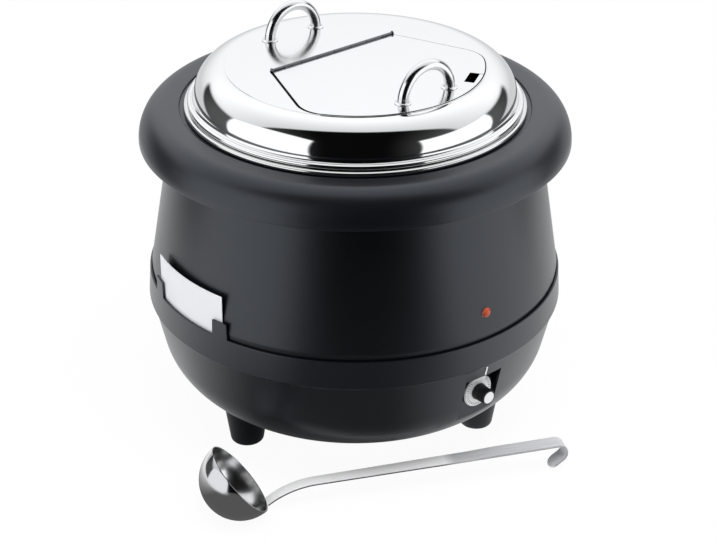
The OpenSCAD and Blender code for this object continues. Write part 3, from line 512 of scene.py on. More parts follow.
def makeCollar():
    c = Sizes(collar)
    outer, top, skirt = reach("collar_ring"), high("collar_ring").z, low("collar_ring").z
    rim, under, seat = outer - c.shoulderWidth, top - c.wall, top - c.seatDrop
    neck, neckOut, neckEnd = c.neckRadius, c.neckRadius + c.neckWall, under - c.neckDepth
    inside = [(c.seatRadius, top, c.edge), (c.seatRadius, seat, c.seatBend), (c.mouthRadius, seat, c.edge),
              (c.mouthRadius, under, c.edge), (neck, under, 0), (neck, neckEnd, c.neckEdge),
              (neckOut, neckEnd, c.neckEdge), (neckOut, under, c.neckBend), (rim, under, 0)]
    centre, rise = (rim, skirt + c.edge / 2), top - skirt - c.edge / 2
    shoulder = arcPoints(centre, outer - rim, 0, 90, 30, rise)
    lining = arcPoints(centre, c.shoulderWidth - c.wall, 0, 90, 24, rise - c.wall)
    lip = [(*lining[0], 0), (lining[0][0], skirt, c.edge), (outer, skirt, c.edge), (*shoulder[0], 0)]
    mouth = rounded([(*shoulder[-1], 0)] + inside + [(*lining[-1], 0)], False)
    return lathe("collarRing", rounded(lip, False)[:-1] + shoulder + mouth[1:-1] + lining[::-1][:-1])


dress(makeCollar(), "shell", "kettle", "black_plastic", "collar_ring")
print("collar made")


# Shared places round the kettle, from the card
card = {"lapUnderTab": 3, "tabTurn": 5, "tabRise": 15.5, "side": 1, "sheet": 0.8, "bow": 0.15, "steps": 40}
cardLow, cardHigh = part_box("label_card")
cardOut = -cardLow.x  # outer face of the card
cardHalf = asin(cardHigh.y / cardOut)
cardPlace = -pi / 2
tabFirst = cardHalf - radians(card["lapUnderTab"])
tabLast = tabFirst + radians(card["tabTurn"])
lipTop = high("lower_shell").z - card["tabRise"] * mm


def turnsWith(edges, count=240, half=0.0012):  # even turns plus a close pair at each edge
    turns = [2 * pi * i / count - pi for i in range(count)]
    spare = 2 * pi / count * 0.4
    turns = [t for t in turns if min(abs(t - e) for e in edges) > spare]
    return sorted(turns + [e + s * half for e in edges for s in (-1, 1)])


def between(turn, first, last):  # how far round from the card's middle
    return first <= abs((turn - cardPlace + pi) % (2 * pi) - pi) <= last


# Upper shell
drum = {"wall": 3, "swell": 0.3, "swellRise": 5.5, "bend": 9, "topEdge": 0.5, "skirtBend": 3, "recessClear": 0.3,
        "rowStep": 12}


def makeDrum():
    d = Sizes(drum)
    wide = reach("upper_shell")
    skirt = wide - d.swell
    outside = [(reach("water_pan"), high("upper_shell").z, d.topEdge), (wide, lipTop + d.swellRise, d.bend),
               (skirt, lipTop, d.skirtBend), (skirt, low("upper_shell").z, 0)]
    profile = rounded(outside + [(r - d.wall, z, f) for r, z, f in outside[::-1]])
    dense = []
    for a, b in zip(profile, profile[1:] + profile[:1]):  # rows along the long taper
        steps = max(1, int(dist(a, b) / d.rowStep))
        dense += [(a[0] + (b[0] - a[0]) * k / steps, a[1] + (b[1] - a[1]) * k / steps) for k in range(steps)]
    back = cardOut - (card["sheet"] + drum["recessClear"]) * mm  # the drum is sunk behind the card
    sunk = cardHalf + radians(card["side"])
    rows = []
    for t in turnsWith([cardPlace - sunk, cardPlace + sunk]):
        most = back if between(t, 0, sunk) else wide
        rows.append([spun(t, min(r, most), z) for r, z in dense])
    return gridMesh("drumShell", rows, sharpAngle=40)


dress(makeDrum(), "drum", "kettle", "black_coat", "upper_shell")
print("drum made")


# Lower shell: bowl, band, lip, card tabs, and the recesses for the dial and the cable
bowl = {"rise": 92, "lean": 12.5, "round": 64, "wall": 3, "bandStep": 2.5, "lipWall": 2.2, "lipLap": 14,
        "shelfLap": 4.5, "lipGap": 2.2, "bandLean": 1.8, "bandTop": 2.2, "creaseBend": 0.4, "bandBend": 0.8,
        "openRadius": 91, "edge": 0.5, "rowClear": 0.5}
recess = {"halfWidth": 20.4, "over": 19.9, "under": 30.3, "depth": 15.8, "wall": 2.5, "pair": 0.35, "straightFor": 30,
          "straightOver": 1}
inlet = {"half": 17, "depth": 19.2, "sink": 9}


def bowlSizes():
    s = Sizes(bowl)
    s.lean = radians(bowl["lean"])
    s.base = high("base_plate").z
    s.crease = s.base + s.rise
    s.creaseRadius = reach("lower_shell") - s.bandStep
    roundTop = s.base + s.round * (1 - sin(s.lean))
    s.flat = s.creaseRadius - (s.crease - roundTop) * tan(s.lean) - s.round * cos(s.lean)
    s.lipRadius = reach("lower_shell") - s.bandLean
    return s


shell = bowlSizes()


def underBowl(radius):  # height of the bowl's outside at a radius from the axis
    past = max(0, radius - shell.flat)
    return shell.base + shell.round - sqrt(max(0, shell.round ** 2 - past ** 2))


def bowlColumns():  # turns with a close pair at each side of the recesses and of the tabs
    out, edges = shell.creaseRadius, []
    for side, half in ((0, recess["halfWidth"] * mm), (pi, inlet["half"] * mm)):
        for e in (half, half + recess["wall"] * mm):
            edges += [side + k * asin(e / out) for k in (-1, 1)]
    edges = [(e + pi) % (2 * pi) - pi for e in edges]
    tabs = [cardPlace + k * e for k in (-1, 1) for e in (tabFirst, tabLast)]
    return turnsWith(edges + tabs, 288, recess["pair"] * mm / out)


def wallRows(thick, ledges, steps=8):  # bowl wall from the base up to the crease
    rows = arcPoints((shell.flat, shell.base + shell.round), shell.round - thick, -90, -degrees(shell.lean), 30)
    r0, z0 = rows[-1]
    heights = [z for z in ledges if z0 < z < shell.crease - shell.rowClear]
    heights += [z0 + (shell.crease - z0) * k / steps for k in range(1, steps)]
    return rows + [(r0 + (z - z0) * tan(shell.lean), z) for z in sorted(heights)]


def makeBowl():
    s, cut, hole = shell, Sizes(recess), Sizes(inlet)
    dialZ, glandZ = middle("dial_skirt").z, middle("cable_gland").z
    cutTop, cutLow, cutY = dialZ + cut.over, dialZ - cut.under, cut.depth - s.creaseRadius
    holeTop, holeLow, holeY = glandZ + hole.half, glandZ - hole.half - hole.sink, s.creaseRadius - hole.depth
    ledges = {z + up + k * cut.pair for z in (cutTop, holeTop) for up in (0, cut.wall) for k in (-1, 1)}
    lipIn, shelf = s.lipRadius - s.lipWall, lipTop - s.lipLap
    shelfIn, bowlIn = lipIn - s.lipGap - s.shelfLap, s.creaseRadius - s.wall / cos(s.lean)
    outer, inner = wallRows(0, ledges), wallRows(s.wall, ledges)
    band = [(*outer[-1], 0), (s.creaseRadius, s.crease, s.creaseBend),
            (reach("lower_shell"), s.crease + s.bandStep, s.bandBend), (s.lipRadius, lipTop - s.bandTop, 0)]
    inside = [(lipIn, shelf, 0), (shelfIn, shelf, 0), (shelfIn, shelf - s.wall, 0), (bowlIn, shelf - s.wall, 0),
              (*inner[-1], 0)]
    rows = []
    for t in bowlColumns():
        top = lipTop + (card["tabRise"] * mm if between(t, tabFirst, tabLast) else 0)
        upper = rounded(band + [(s.lipRadius, top, s.edge), (lipIn, top, s.edge)] + inside, False)[1:-1]
        column = [(s.openRadius, s.base)] + outer + upper + inner[::-1] + [(s.openRadius, s.base + s.wall)]
        innerFrom = 1 + len(outer) + len(upper)
        x = s.creaseRadius * sin(t)  # keeps a straight side across the recess
        near = max(0, min(1, 2.0 - abs(x) / cut.straightFor))
        row = []
        for k, (r, z) in enumerate(column):
            turn = t
            if r > abs(x) and near > 0 and z < s.crease + cut.straightOver and 0 < k < len(column) - 1:
                straight = asin(x / r)
                straight = straight if abs(t) < pi / 2 else copysign(pi, straight) - straight
                turn = t + (straight - t) * near
            px, py, z = spun(turn, r, z)
            extra = cut.wall if k >= innerFrom else 0.0
            if abs(px) < cut.halfWidth + extra and cutLow < z < cutTop + extra and py < 0:
                py = max(py, cutY + extra)
            if abs(px) < hole.half + extra and holeLow < z < holeTop + extra and py > 0:
                py = min(py, holeY - extra)
            row.append((px, py, z))
        rows.append(row)
    return gridMesh("bowlShell", rows, sharpAngle=35)


dress(makeBowl(), "shell", "kettle", "black_plastic", "lower_shell")
print("bowl made")


# Feet
foot = {"radius": 15.5, "topRadius": 21, "edge": 4, "screwRecess": 6, "recessDepth": 14, "recessBend": 0.5,
        "recessEdge": 0.8, "clear": 0.05}


def makeFeet():
    s, place, base = Sizes(foot), middle("foot_left"), high("base_plate").z
    out, slope = place.xy.length, (s.topRadius - s.radius) / base
    side = [(0, s.recessDepth, 0), (s.screwRecess, s.recessDepth, s.recessBend), (s.screwRecess, 0, s.recessEdge),
            (s.radius, 0, s.edge)]
    side += [(s.radius + slope * h, h, 0) for h in (base * k / 8 for k in range(2, 9))]
    profile = rounded(side + [(0, base, 0)], False)
    rows = []
    for t in evenTurns(64):
        row = [spun(t, r, z) for r, z in profile]
        top = [(x, y, underBowl(hypot(x, y - out)) - s.clear) for x, y, z in row[-2:]]  # follows the bowl
        rows.append(row[:-2] + top)
    item = gridMesh("footItem", rows, True, False)
    return ringOf("feet", item, 3, out, atan2(place.x, -place.y), "foot")


dress(makeFeet(), "foot", "kettle", "foot_black", "foot_left", "foot_front", "foot_rear")
print("feet made")


# Screws under the base
screws = {"headRadius": 3.6, "headRise": 2, "shank": 1.8, "slotWidth": 0.9, "slotDepth": 0.8}


def makeBaseScrews():
    s, base, far = Sizes(screws), low("base_plate").z, high("base_screws")
    length, head = far.z - base, s.headRadius
    dome = arcPoints((0, -s.headRise * 0.35), head, 0, -90, 8, s.headRise * 0.65)
    blank = lathe("screwItem", [(0, length), (s.shank, length), (s.shank, 0), (head, 0)] + dome, 40, False)
    cutter = block("screwItemSlot", (head * 3, s.slotWidth, s.slotDepth * 2), -s.headRise)
    cut = blank.modifiers.new("slot", "BOOLEAN")
    cut.object, cut.solver, cut.operation = cutter, "EXACT", "DIFFERENCE"
    item = meshFrom("screwItem", evaluated(blank, cutter))
    made = ringOf("baseScrews", item, 4, hypot(far.x - head, far.y - head), pi / 4, "zinc")
    return moved(made, Matrix.Translation((0, 0, base)))


dress(makeBaseScrews(), "zinc", "kettle", "zinc", "base_screws")
print("screws made")


# Insert pot and water pan
pot = {"bead": 2.2, "sheet": 1.2, "rimWidth": 17, "corner": 18, "underBend": 1.5, "overBend": 3}
pan = {"bead": 0, "sheet": 1.2, "rimWidth": 12.25, "corner": 12, "underBend": 1, "overBend": 3}


def vessel(name, node, settings):
    s = Sizes(settings)
    rimRadius, rim, bottom = reach(node), high(node).z, low(node).z
    outR, inR, floor = rimRadius - s.rimWidth, rimRadius - s.rimWidth - s.sheet, bottom + s.sheet
    outside = [(0, bottom, 0), (outR, bottom, s.corner), (outR, rim - s.sheet, s.underBend)]
    inside = [(inR, rim, s.overBend), (inR, floor, s.corner - s.sheet), (0, floor, 0)]
    edge = [(rimRadius, rim - s.sheet), (rimRadius, rim)]
    if s.bead > 0:
        edge = rolledEdge((rimRadius - s.bead, rim - s.bead), s.bead, 153, 450)
    return lathe(name, rounded(outside + [(r, z, 0) for r, z in edge] + inside, False, 8), closed=False)


dress(vessel("insertPot", "insert_pot", pot), "potSteel", "pot", "polished_steel", "insert_pot")
dress(vessel("waterPan", "water_pan", pan), "panSteel", "kettle", "satin_steel", "water_pan")
print("pot and pan made")


# Lid: turned ring, flat top with the hatch, and the hinge ears
lid = {"bead": 2.3, "sheet": 1.2, "coveIn": 6.2, "coveRound": 3.5, "shoulderWidth": 25.9, "step": 0.5, "land": 1.7,
       "lap": 0.6, "lapRise": 0.1, "edge": 0.2}
hatch = {"halfHinge": 71, "splay": 21, "corner": 30, "gap": 1.6, "offset": 0.9, "margin": 0.6, "ledge": 7,
         "ledgeDrop": 0.3, "ledgeLap": 1, "rim": 1.2, "seatEdge": 0.1, "barrel": 1.15, "barrelEnd": 13,
         "barrelGap": 0.7, "seatGap": 0.3, "earEdge": 0.4, "tongue": 1.5, "groove": 0.35, "pin": 0.9, "head": 2,
         "headLength": 1.2, "headBend": 0.5, "soft": 0.2, "slotLength": 22, "slotWidth": 9, "slotEdge": 4,
         "slotPlace": 32, "slit": 0.9}
lidSize, hatchSize = Sizes(lid), Sizes(hatch)
hingePlace = lidSpin.inverted() @ Vector(joints["flap_hinge"]["pos_m"])
lidTop = low("lid_handle_collars").z
lidEdge = reach("lid_shell")
panelEdge = lidEdge - (lid["coveIn"] + lid["shoulderWidth"] + lid["land"] + lid["step"]) * mm
flapRadius = panelEdge - (hatch["margin"] + hatch["gap"]) * mm


def onHinge(x, side=1):  # local +Z runs along the pin
    return Matrix.Translation((x, hingePlace.y, hingePlace.z)) @ Matrix.Rotation(side * pi / 2, 4, "Y")


def hatchOutline(grow, back, path=None):  # path leads the front edge round the ladle slot
    h, splay = hatchSize, radians(hatch["splay"])
    out, along = Vector((cos(splay), sin(splay))), Vector((sin(splay), -cos(splay)))
    hinge = Vector((h.halfHinge, hingePlace.y))
    start = hinge - out * h.corner
    b, c = start.dot(along), start.dot(start) - (flapRadius - h.corner) ** 2
    centre = start + along * (sqrt(b * b - c) - b)  # of the rounded front corner, on the +X side
    hinge = hinge + out * grow
    corner = hinge + along * ((hinge.y - back) / cos(splay))
    turn = degrees(atan2(centre.y, centre.x))
    side = [tuple(corner)] + arcPoints(centre, h.corner + grow, hatch["splay"], turn, 20)
    front = arcPoints((0, 0), flapRadius + grow, turn, -180 - turn, 72)[1:-1]
    if path:
        front = [p for p in front if p[0] > path[0][0]] + path + [p for p in front if p[0] < path[-1][0]]
    return side + front + [(-x, y) for x, y in side[::-1]]


def atSlot(*points):
    spin = Matrix.Rotation(radians(hatch["slotPlace"]), 2)
    return [tuple(spin @ Vector(p)) for p in points]


def onRim(x, radius):
    return x, -sqrt(radius ** 2 - x ** 2)


def slotPath():
    h, half, far = hatchSize, hatchSize.slotLength / 2, hatchSize.slotEdge - flapRadius
    return atSlot(onRim(half, flapRadius), (half, far + h.slotWidth), (-half, far + h.slotWidth), (-half, far),
                  (half - h.slit, far), onRim(half - h.slit, flapRadius))


def ledgePath():
    h = hatchSize
    half, far, near = h.slotLength / 2 + h.gap, h.slotEdge - h.gap - flapRadius, flapRadius - h.ledge
    return atSlot(onRim(half, near), (half, far), (-half, far), onRim(-half, near))


def makeLidRing():
    s, bottom = lidSize, low("lid_shell").z
    wall, inR = lidEdge - s.coveIn, lidEdge - s.coveIn - s.shoulderWidth
    shoulderZ = bottom + s.bead * 2 - s.sheet / 2 + s.coveRound
    shoulderAt, coveAt = (inR, shoulderZ), (wall + s.coveRound, shoulderZ)
    rise, landEnd = lidTop - s.step - shoulderZ, panelEdge - s.lap
    roll = rolledEdge((lidEdge - s.bead, bottom + s.bead), s.bead, 159, 486)
    cove = arcPoints(coveAt, s.coveRound, 253, 185, 12)
    dome = arcPoints(shoulderAt, s.shoulderWidth, 0, 90, 64, rise)
    land = [(landEnd, lidTop - s.step), (landEnd, lidTop - s.sheet + s.lapRise)]
    under = arcPoints(shoulderAt, s.shoulderWidth - s.sheet, 90, 0, 32, rise + s.step - s.sheet)
    behind = arcPoints(coveAt, s.coveRound + s.sheet, 185, 247, 10)
    return lathe("lidRing", roll + cove + dome + land + under + behind, 320)


def makeLidTop():
    s, h, sheet = lidSize, hatchSize, lidSize.sheet
    back = hingePlace.y + h.barrel + h.seatGap
    opening, border = hatchOutline(h.gap, back), hatchOutline(h.gap + h.rim, back + h.rim)
    disc = arcPoints((0, 0), panelEdge, 0, 360, 240)[:-1]
    top = plate("lidTop", [disc, [(x - h.offset, y) for x, y in opening]], lidTop - sheet, sheet, s.edge)
    ledgeZ = lidTop - sheet - h.ledgeDrop
    inner = hatchOutline(-h.ledge, back - h.ledgeLap, ledgePath())
    ledge = plate("lidLedge", [border, inner], ledgeZ - sheet, sheet, h.seatEdge)
    rim = plate("lidRim", [border, opening], ledgeZ - sheet / 2, sheet, h.seatEdge)
    ears = []
    for side in (-1, 1):
        first, last = h.halfHinge - h.barrelEnd + h.barrelGap, h.halfHinge - h.barrelGap / 2
        tube = [(0, 0, 0), (h.barrel, 0, h.earEdge), (h.barrel, last - first, h.earEdge), (0, last - first, 0)]
        ears.append(lathe("ear", rounded(tube, False), 40, False, onHinge(side * first, side)))
        tongue = [(side * first, hingePlace.y), (side * last, hingePlace.y), (side * last, back + h.tongue),
                  (side * first, back + h.tongue)]
        ears.append(plate("tongue", [tongue], lidTop - sheet, sheet, h.soft))
    return top, joined("lidSeat", ledge, rim), joined("lidEars", *ears)


def makeHingePin():
    h = hatchSize
    half, head = h.halfHinge + h.headLength, h.headLength
    profile = [(0, 0, 0), (h.head, 0, h.headBend), (h.head, head, h.soft), (h.pin, head, 0)]
    profile += [(r, 2 * half - z, f) for r, z, f in profile[::-1]]  # a head at each end
    return lathe("hingePin", rounded(profile, False), 40, False, onHinge(-half))


lidPieces = [makeLidRing(), *makeLidTop(), makeHingePin()]
# the seat under the hatch gap gets near-black steel as painted shade; the ears and pin get hinge steel darkened with
# painted shade
lidLooks = [("mirror", "lid_shell"), ("panel",), ("seam",), ("hinge",), ("hinge", "hinge_pin")]
for piece, (finish, *nodes) in zip(lidPieces, lidLooks):
    dress(moved(piece, lidSpin), finish, "lid", "polished_steel", *nodes)
print("lid made")


def makeFlap():
    h, sheet, hingeY = hatchSize, lidSize.sheet, hingePlace.y
    inner, back = h.halfHinge - h.barrelEnd, hingeY - h.barrel - h.seatGap
    tongue = [(-inner, back), (-inner, hingeY), (inner, hingeY), (inner, back)]
    panel = plate("flapSheet", [hatchOutline(0, back, slotPath()) + tongue], lidTop - sheet, sheet, lidSize.edge)
    knuckles, count = [(0, 0)], 6
    length = 2 * inner / count
    for k in range(count):  # the barrel is rolled in knuckles
        first, last = length * k, length * (k + 1)
        knuckles += rounded([(h.barrel - h.groove, first, 0), (h.barrel, first + h.groove, h.soft),
                             (h.barrel, last - h.groove, h.soft), (h.barrel - h.groove, last, 0)], False)
    barrel = lathe("flapBarrel", knuckles + [(0, 2 * inner)], 40, False, onHinge(-inner))
    return moved(panel, lidSpin), moved(barrel, lidSpin)


flapSheet, flapBarrel = makeFlap()
dress(flapSheet, "panel", "flap", "polished_steel", "flap_panel")
# the barrel gets the hinge steel darkened with painted shade
dress(flapBarrel, "hinge", "flap", "polished_steel")
print("flap made")


# Handles
handle = {"span": 54.5, "tube": 5, "leg": 0.6, "collarRadius": 7.5, "collarRise": 1.6, "collarStep": 0.9, "soft": 0.3,
          "waist": 0.4, "lip": 0.2}


def makeArch(name):
    s = Sizes(handle)
    return moved(grown(name, archNodes, {"Span": s.span, "Leg": s.leg, "Tube": s.tube}, "handle", 50), lidSpin)


def makeHandleFeet(name):
    s, r, rise = Sizes(handle), handle["collarRadius"] * mm, handle["collarRise"] * mm
    profile = rounded([(s.tube, 0, 0), (r, 0, s.soft), (r, rise * 0.35, s.soft),
                       (s.tube + s.collarStep, rise * 0.6, s.waist), (s.tube, rise, s.lip)])
    return ringOf(name, lathe(name + "Item", profile, 64), 2, s.span / 2, pi / 2 + lidTurn, "handle")


for body in ("lid", "flap"):
    for make, name, node in ((makeArch, "Handle", "_handle"), (makeHandleFeet, "HandleFeet", "_handle_collars")):
        place = Matrix.Translation((*middle(body + node).xy, lidTop))
        dress(moved(make(body + name), place), "handle", body, "polished_steel", body + node)
print("handles made")


# Dial
ticks = {"count": 28, "first": 40, "sweep": 290}
fluteCount = 24
dial = {"radius": 15.8, "bevel": 1, "edge": 0.4, "backEdge": 0.3, "tickLength": 2.4, "tickWidth": 0.5,
        "tickRise": 0.12, "knobRadius": 8, "draft": 0.8, "flute": 0.35, "baseRise": 1.6, "baseStep": 0.4,
        "fluteFrom": 2.2, "fluteEnd": 0.3, "faceBend": 1, "capClear": 0.1, "capSink": 0.4, "capEdge": 0.2,
        "soft": 0.3, "fluteIn": 0.5}


def facing(node, y):  # local +Z runs out of the dial's face
    return Matrix.Translation((0, y, middle(node).z)) @ Matrix.Rotation(pi / 2, 4, "X")


def makeSkirt():
    s, r, thick = Sizes(dial), reach("dial_skirt"), depth("dial_skirt")
    profile = rounded([(0, 0, 0), (r, 0, s.backEdge), (r, thick - s.bevel, s.edge), (r - s.bevel, thick, s.edge),
                       (0, thick, 0)], False)
    return lathe("dialSkirt", profile, 128, False, facing("dial_skirt", high("dial_skirt").y))


def makeTicks():
    s = Sizes(dial)
    item = block("tickItem", (s.tickWidth, s.tickLength, s.tickRise * 2))
    out = s.radius - s.bevel - s.tickLength * 0.75
    made = ringOf("dialTicks", item, ticks["count"], out, radians(ticks["first"]), "ink", radians(ticks["sweep"]))
    return moved(made, facing("dial_skirt", low("dial_skirt").y) @ Matrix.Rotation(pi, 4, "Z"))


def makeKnob():
    s, r, length, cap = Sizes(dial), dial["knobRadius"] * mm, depth("knob"), reach("knob_cap")
    seat, face = cap + s.capClear, length - s.capSink
    profile = rounded([(0, 0, 0), (r, 0, s.edge), (r, s.baseRise, s.soft),
                       (r - s.baseStep, s.baseRise + s.baseStep, s.soft), (r - s.draft, length, s.faceBend),
                       (seat, length, s.capEdge), (seat, face, 0), (0, face, 0)], False)
    rows = []
    for t in evenTurns(192):
        groove, row = s.flute * (0.5 + 0.5 * cos(fluteCount * t)) ** 2, []
        for pr, pz in profile:
            fluted = pr > cap + s.fluteIn and s.fluteFrom < pz < length - s.fluteEnd
            row.append(spun(t, pr - groove if fluted else pr, pz))
        rows.append(row)
    return gridMesh("knob", rows, True, False, facing("dial_skirt", high("knob").y), 40)


def makeKnobCap():
    r, rise, soft = reach("knob_cap"), depth("knob_cap"), dial["soft"] * mm
    profile = rounded([(0, 0, 0), (r, 0, 0), (r, rise * 0.75, soft), (r * 0.82, rise * 0.95, soft),
                       (r * 0.74, rise * 0.75, soft), (0, rise * 0.75, 0)], False)
    return lathe("knobCap", profile, 96, False, facing("dial_skirt", high("knob_cap").y))


dress(makeSkirt(), "satin", "dial", "satin_steel", "dial_skirt")
dress(makeTicks(), "ink", "dial", "knob_black")
dress(makeKnob(), "knob", "dial", "knob_black", "knob")
dress(makeKnobCap(), "satin", "dial", "satin_steel", "knob_cap")
print("dial made")


# Lamp
lamp = {"dome": 3, "domeIn": 0.6, "edge": 0.3, "edgeRise": 0.4}


def makeLamp():
    s, r = Sizes(lamp), reach("lamp_lens")
    seat = depth("lamp_lens") - s.dome
    cap = arcPoints((0, seat), r - s.domeIn, 0, 90, 12, s.dome)
    profile = [(0, 0), (r, 0), (r, seat), (r - s.edge, seat + s.edgeRise)] + cap[1:]
    return lathe("lampLens", profile, 64, False, facing("lamp_lens", high("lamp_lens").y))


dress(makeLamp(), "lens", "kettle", "lamp_orange", "lamp_lens")
print("lamp made")


# Label card
def makeCard():
    back, front, steps = cardOut - card["sheet"] * mm, cardOut - card["bow"] * mm, card["steps"]
    section = [(back, cardLow.z), (front, cardLow.z), (front, cardHigh.z), (back, cardHigh.z)]
    turns = [cardPlace + cardHalf * (2 * k / steps - 1) for k in range(steps + 1)]
    return gridMesh("labelCard", [[spun(t, r, z) for r, z in section] for t in turns], False)


dress(makeCard(), "card", "card", "card_white", "label_card")
print("card made")


# Ladle
ladleSpin = Matrix.Translation((ladlePlace.x, ladlePlace.y, 0)) @ Matrix.Rotation(radians(ladle["heading"]), 4, "Z")


def makeLadleBowl():
    r, sheet, rise = ladlePlace.z, ladle["sheet"] * mm, ladle["lip"] * mm
    outside = arcPoints((0, 0), r, -90, -1, 40)
    inside = arcPoints((0, 0), r - sheet, -1, -90, 40)
    lip = arcPoints((r - sheet / 2, -rise), sheet / 2, 0, 180, 8, rise)
    place = ladleSpin @ Matrix.Translation((0, 0, r)) @ Matrix.Rotation(radians(90 - ladle["tilt"]), 4, "Y")
    return lathe("ladleBowl", outside + lip[1:-1] + inside, 160, False, place)


def strapLine():  # along the handle, up, and the heading at each step
    s, r, bendSteps, runSteps, tailSteps = Sizes(ladle), ladlePlace.z, 24, 44, 16
    tilt, start, rise, turn = (radians(ladle[k]) for k in ("tilt", "neckStart", "rise", "hookTurn"))
    x0, z0 = r * sin(tilt), r - r * cos(tilt)
    line = []
    for k in range(bendSteps + 1):
        a = start + (rise - start) * k / bendSteps
        line.append((x0 + s.neckBend * (sin(start) - sin(a)), z0 + s.neckBend * (cos(a) - cos(start)), a))
    x1, z1 = line[-1][:2]
    run, climb = s.reach - x1, s.endHeight - z1
    for k in range(1, runSteps):
        line.append((x1 + run * k / runSteps, z1 + climb * k / runSteps, atan2(climb, run)))
    for k in range(bendSteps + 1):
        a = -turn * k / bendSteps
        line.append((s.reach - s.hookBend * sin(a), s.endHeight - s.hookBend * (1 - cos(a)), a))
    x2, z2 = line[-1][:2]
    for k in range(1, tailSteps + 1):
        d = s.hookTail * k / tailSteps
        line.append((x2 + d * cos(turn), z2 - d * sin(turn), -turn))
    return line


def strapSection(half, crown, steps=12):  # upper face, then the lower one back
    s, upper, lower = Sizes(ladle), [], []
    for k in range(steps + 1):
        u = 2 * k / steps - 1
        soft = s.edge * max(0, (abs(half * u) - half + s.edge) / s.edge) ** 2 if half > s.edge else 0.0
        upper.append((half * u, s.thick / 2 - crown * u ** 2 * 0.8 - soft))
        lower.append((half * u, -s.thick / 2 + crown * 0.2 * (1 - u ** 2) + soft * 0.5))
    return upper + lower[::-1]


def makeStrap():
    s, line, total = Sizes(ladle), strapLine(), [0]
    for a, b in zip(line, line[1:]):
        total.append(total[-1] + dist(a[:2], b[:2]))
    rows = []
    for (x, z, a), run in zip(line, total):
        flat = max(0, min(1, (run - s.flatFrom) / s.flatFor))
        half = (s.neckWidth + (s.width - s.neckWidth) * min(1, run / s.widenFor)) / 2
        left = total[-1] - run
        if left < half:  # round end of the hook
            half = sqrt(max(0, half ** 2 - (half - left) ** 2)) + s.tip
        section = strapSection(half, s.crown * (1 - flat))
        rows.append([(x - h * sin(a), -w, z + h * cos(a)) for w, h in section])
    return gridMesh("ladleHandle", rows, False, True, ladleSpin, 40)


dress(makeLadleBowl(), "ladle", "ladle", "polished_steel", "ladle_bowl")
dress(makeStrap(), "strap", "ladle", "satin_steel", "ladle_handle")
print("ladle made")


# CAD pieces that stay, with their finishes
kept = {"zinc": ["foot_screws", "foot_nuts", "base_plate", "element_bracket", "bracket_nut", "thermostat_nut",
                 "lamp_clip", "lid_handle_nuts", "flap_handle_nuts", "thermostat_shaft"],
        "plate": ["heater_plate"], "sheath": ["heating_element"], "wire": ["wiring"], "print": ["pointer_mark"],
        "ivory": ["thermostat", "terminal_block", "lamp_body"], "gland": ["cable_gland", "gland_nut", "thermal_cutout"]}
for finish, names in kept.items():
    for name in names:
        for holder in frame["nodes"][name].material_slots:
            holder.material = finishes[finish]
print("kept pieces dressed")


# Stage, light and camera
view = {"azimuth": -38, "elevation": 29.2, "roll": 0.45, "distance": 1717, "aimHeight": 141.7, "aimRight": 3.5,
        "focalPixels": 1780, "imageWidth": 716, "sensor": 36}
ground = {"radius": 0.84, "drop": 0.0004, "shadow": 0.05, "shadowFrom": 0.30, "shadowRun": 0.30, "near": 1.1,
          "sides": 1.15, "front": 0.14, "sidesFrom": 0.19, "sidesRun": 0.16, "first": -85, "last": 62, "soft": 45,
          "farMargin": 5, "farSoft": 10, "farFrom": 0.42, "farRun": 0.12}
room = {"tint": (0.965, 0.98, 1), "white": 1.25, "edgeTone": 0.62, "whiteRun": 0.90, "dim": 0.10, "black": 0.003,
        "dimFrom": 0.30, "dimRun": 0.60, "darkFrom": 0.20, "darkSoft": 0.06, "lowRise": 20, "lowTurn": 131,
        "lowSlope": 0.75, "lowSoft": 5, "backDrop": 0.42, "backFrom": 0.10, "backRun": 0.30, "backRise": 30}
boxes = {"leftFirst": -30, "leftLast": -98, "leftRise": 39, "leftMiddle": -55, "leftBow": 0.0095,
         "rightFirst": 44.5, "rightLast": 108, "rightRise": 23, "sideSoft": 2, "topSoft": 3}
overhead = {"power": 40, "height": 2, "front": 0.8, "right": 0.25, "aim": 0.25, "width": 1.6, "length": 1.2}
viewTurn = radians(view["azimuth"])
towards = Vector((sin(viewTurn), -cos(viewTurn), 0))  # level, from the object to the camera
rightOf = Vector((cos(viewTurn), sin(viewTurn), 0))
white = (1, 1, 1, 1)


def compass(x, y):  # how far to the front and to the right, and the bearing from the camera's side
    front, side = x * towards.x + y * towards.y, x * rightOf.x + y * rightOf.y
    return front, side, side.bearing(front) * (180 / pi)


def aimed(obj, place, direction):
    obj.location = place
    obj.rotation_mode = "QUATERNION"
    obj.rotation_quaternion = direction.to_track_quat("-Z", "Y")
    return obj


def makeCamera():
    data = bpy.data.cameras.new("camera")
    data.sensor_width = view["sensor"]
    data.lens = view["focalPixels"] / view["imageWidth"] * view["sensor"]
    rise = radians(view["elevation"])
    back = towards * cos(rise) + Vector((0, 0, sin(rise)))
    aim = Vector((0, 0, view["aimHeight"] * mm)) + rightOf * (view["aimRight"] * mm)
    obj = aimed(linked("camera", data), aim + back * (view["distance"] * mm), -back)
    obj.rotation_quaternion = obj.rotation_quaternion @ Quaternion((0, 0, 1), radians(view["roll"]))
    bpy.context.scene.camera = obj


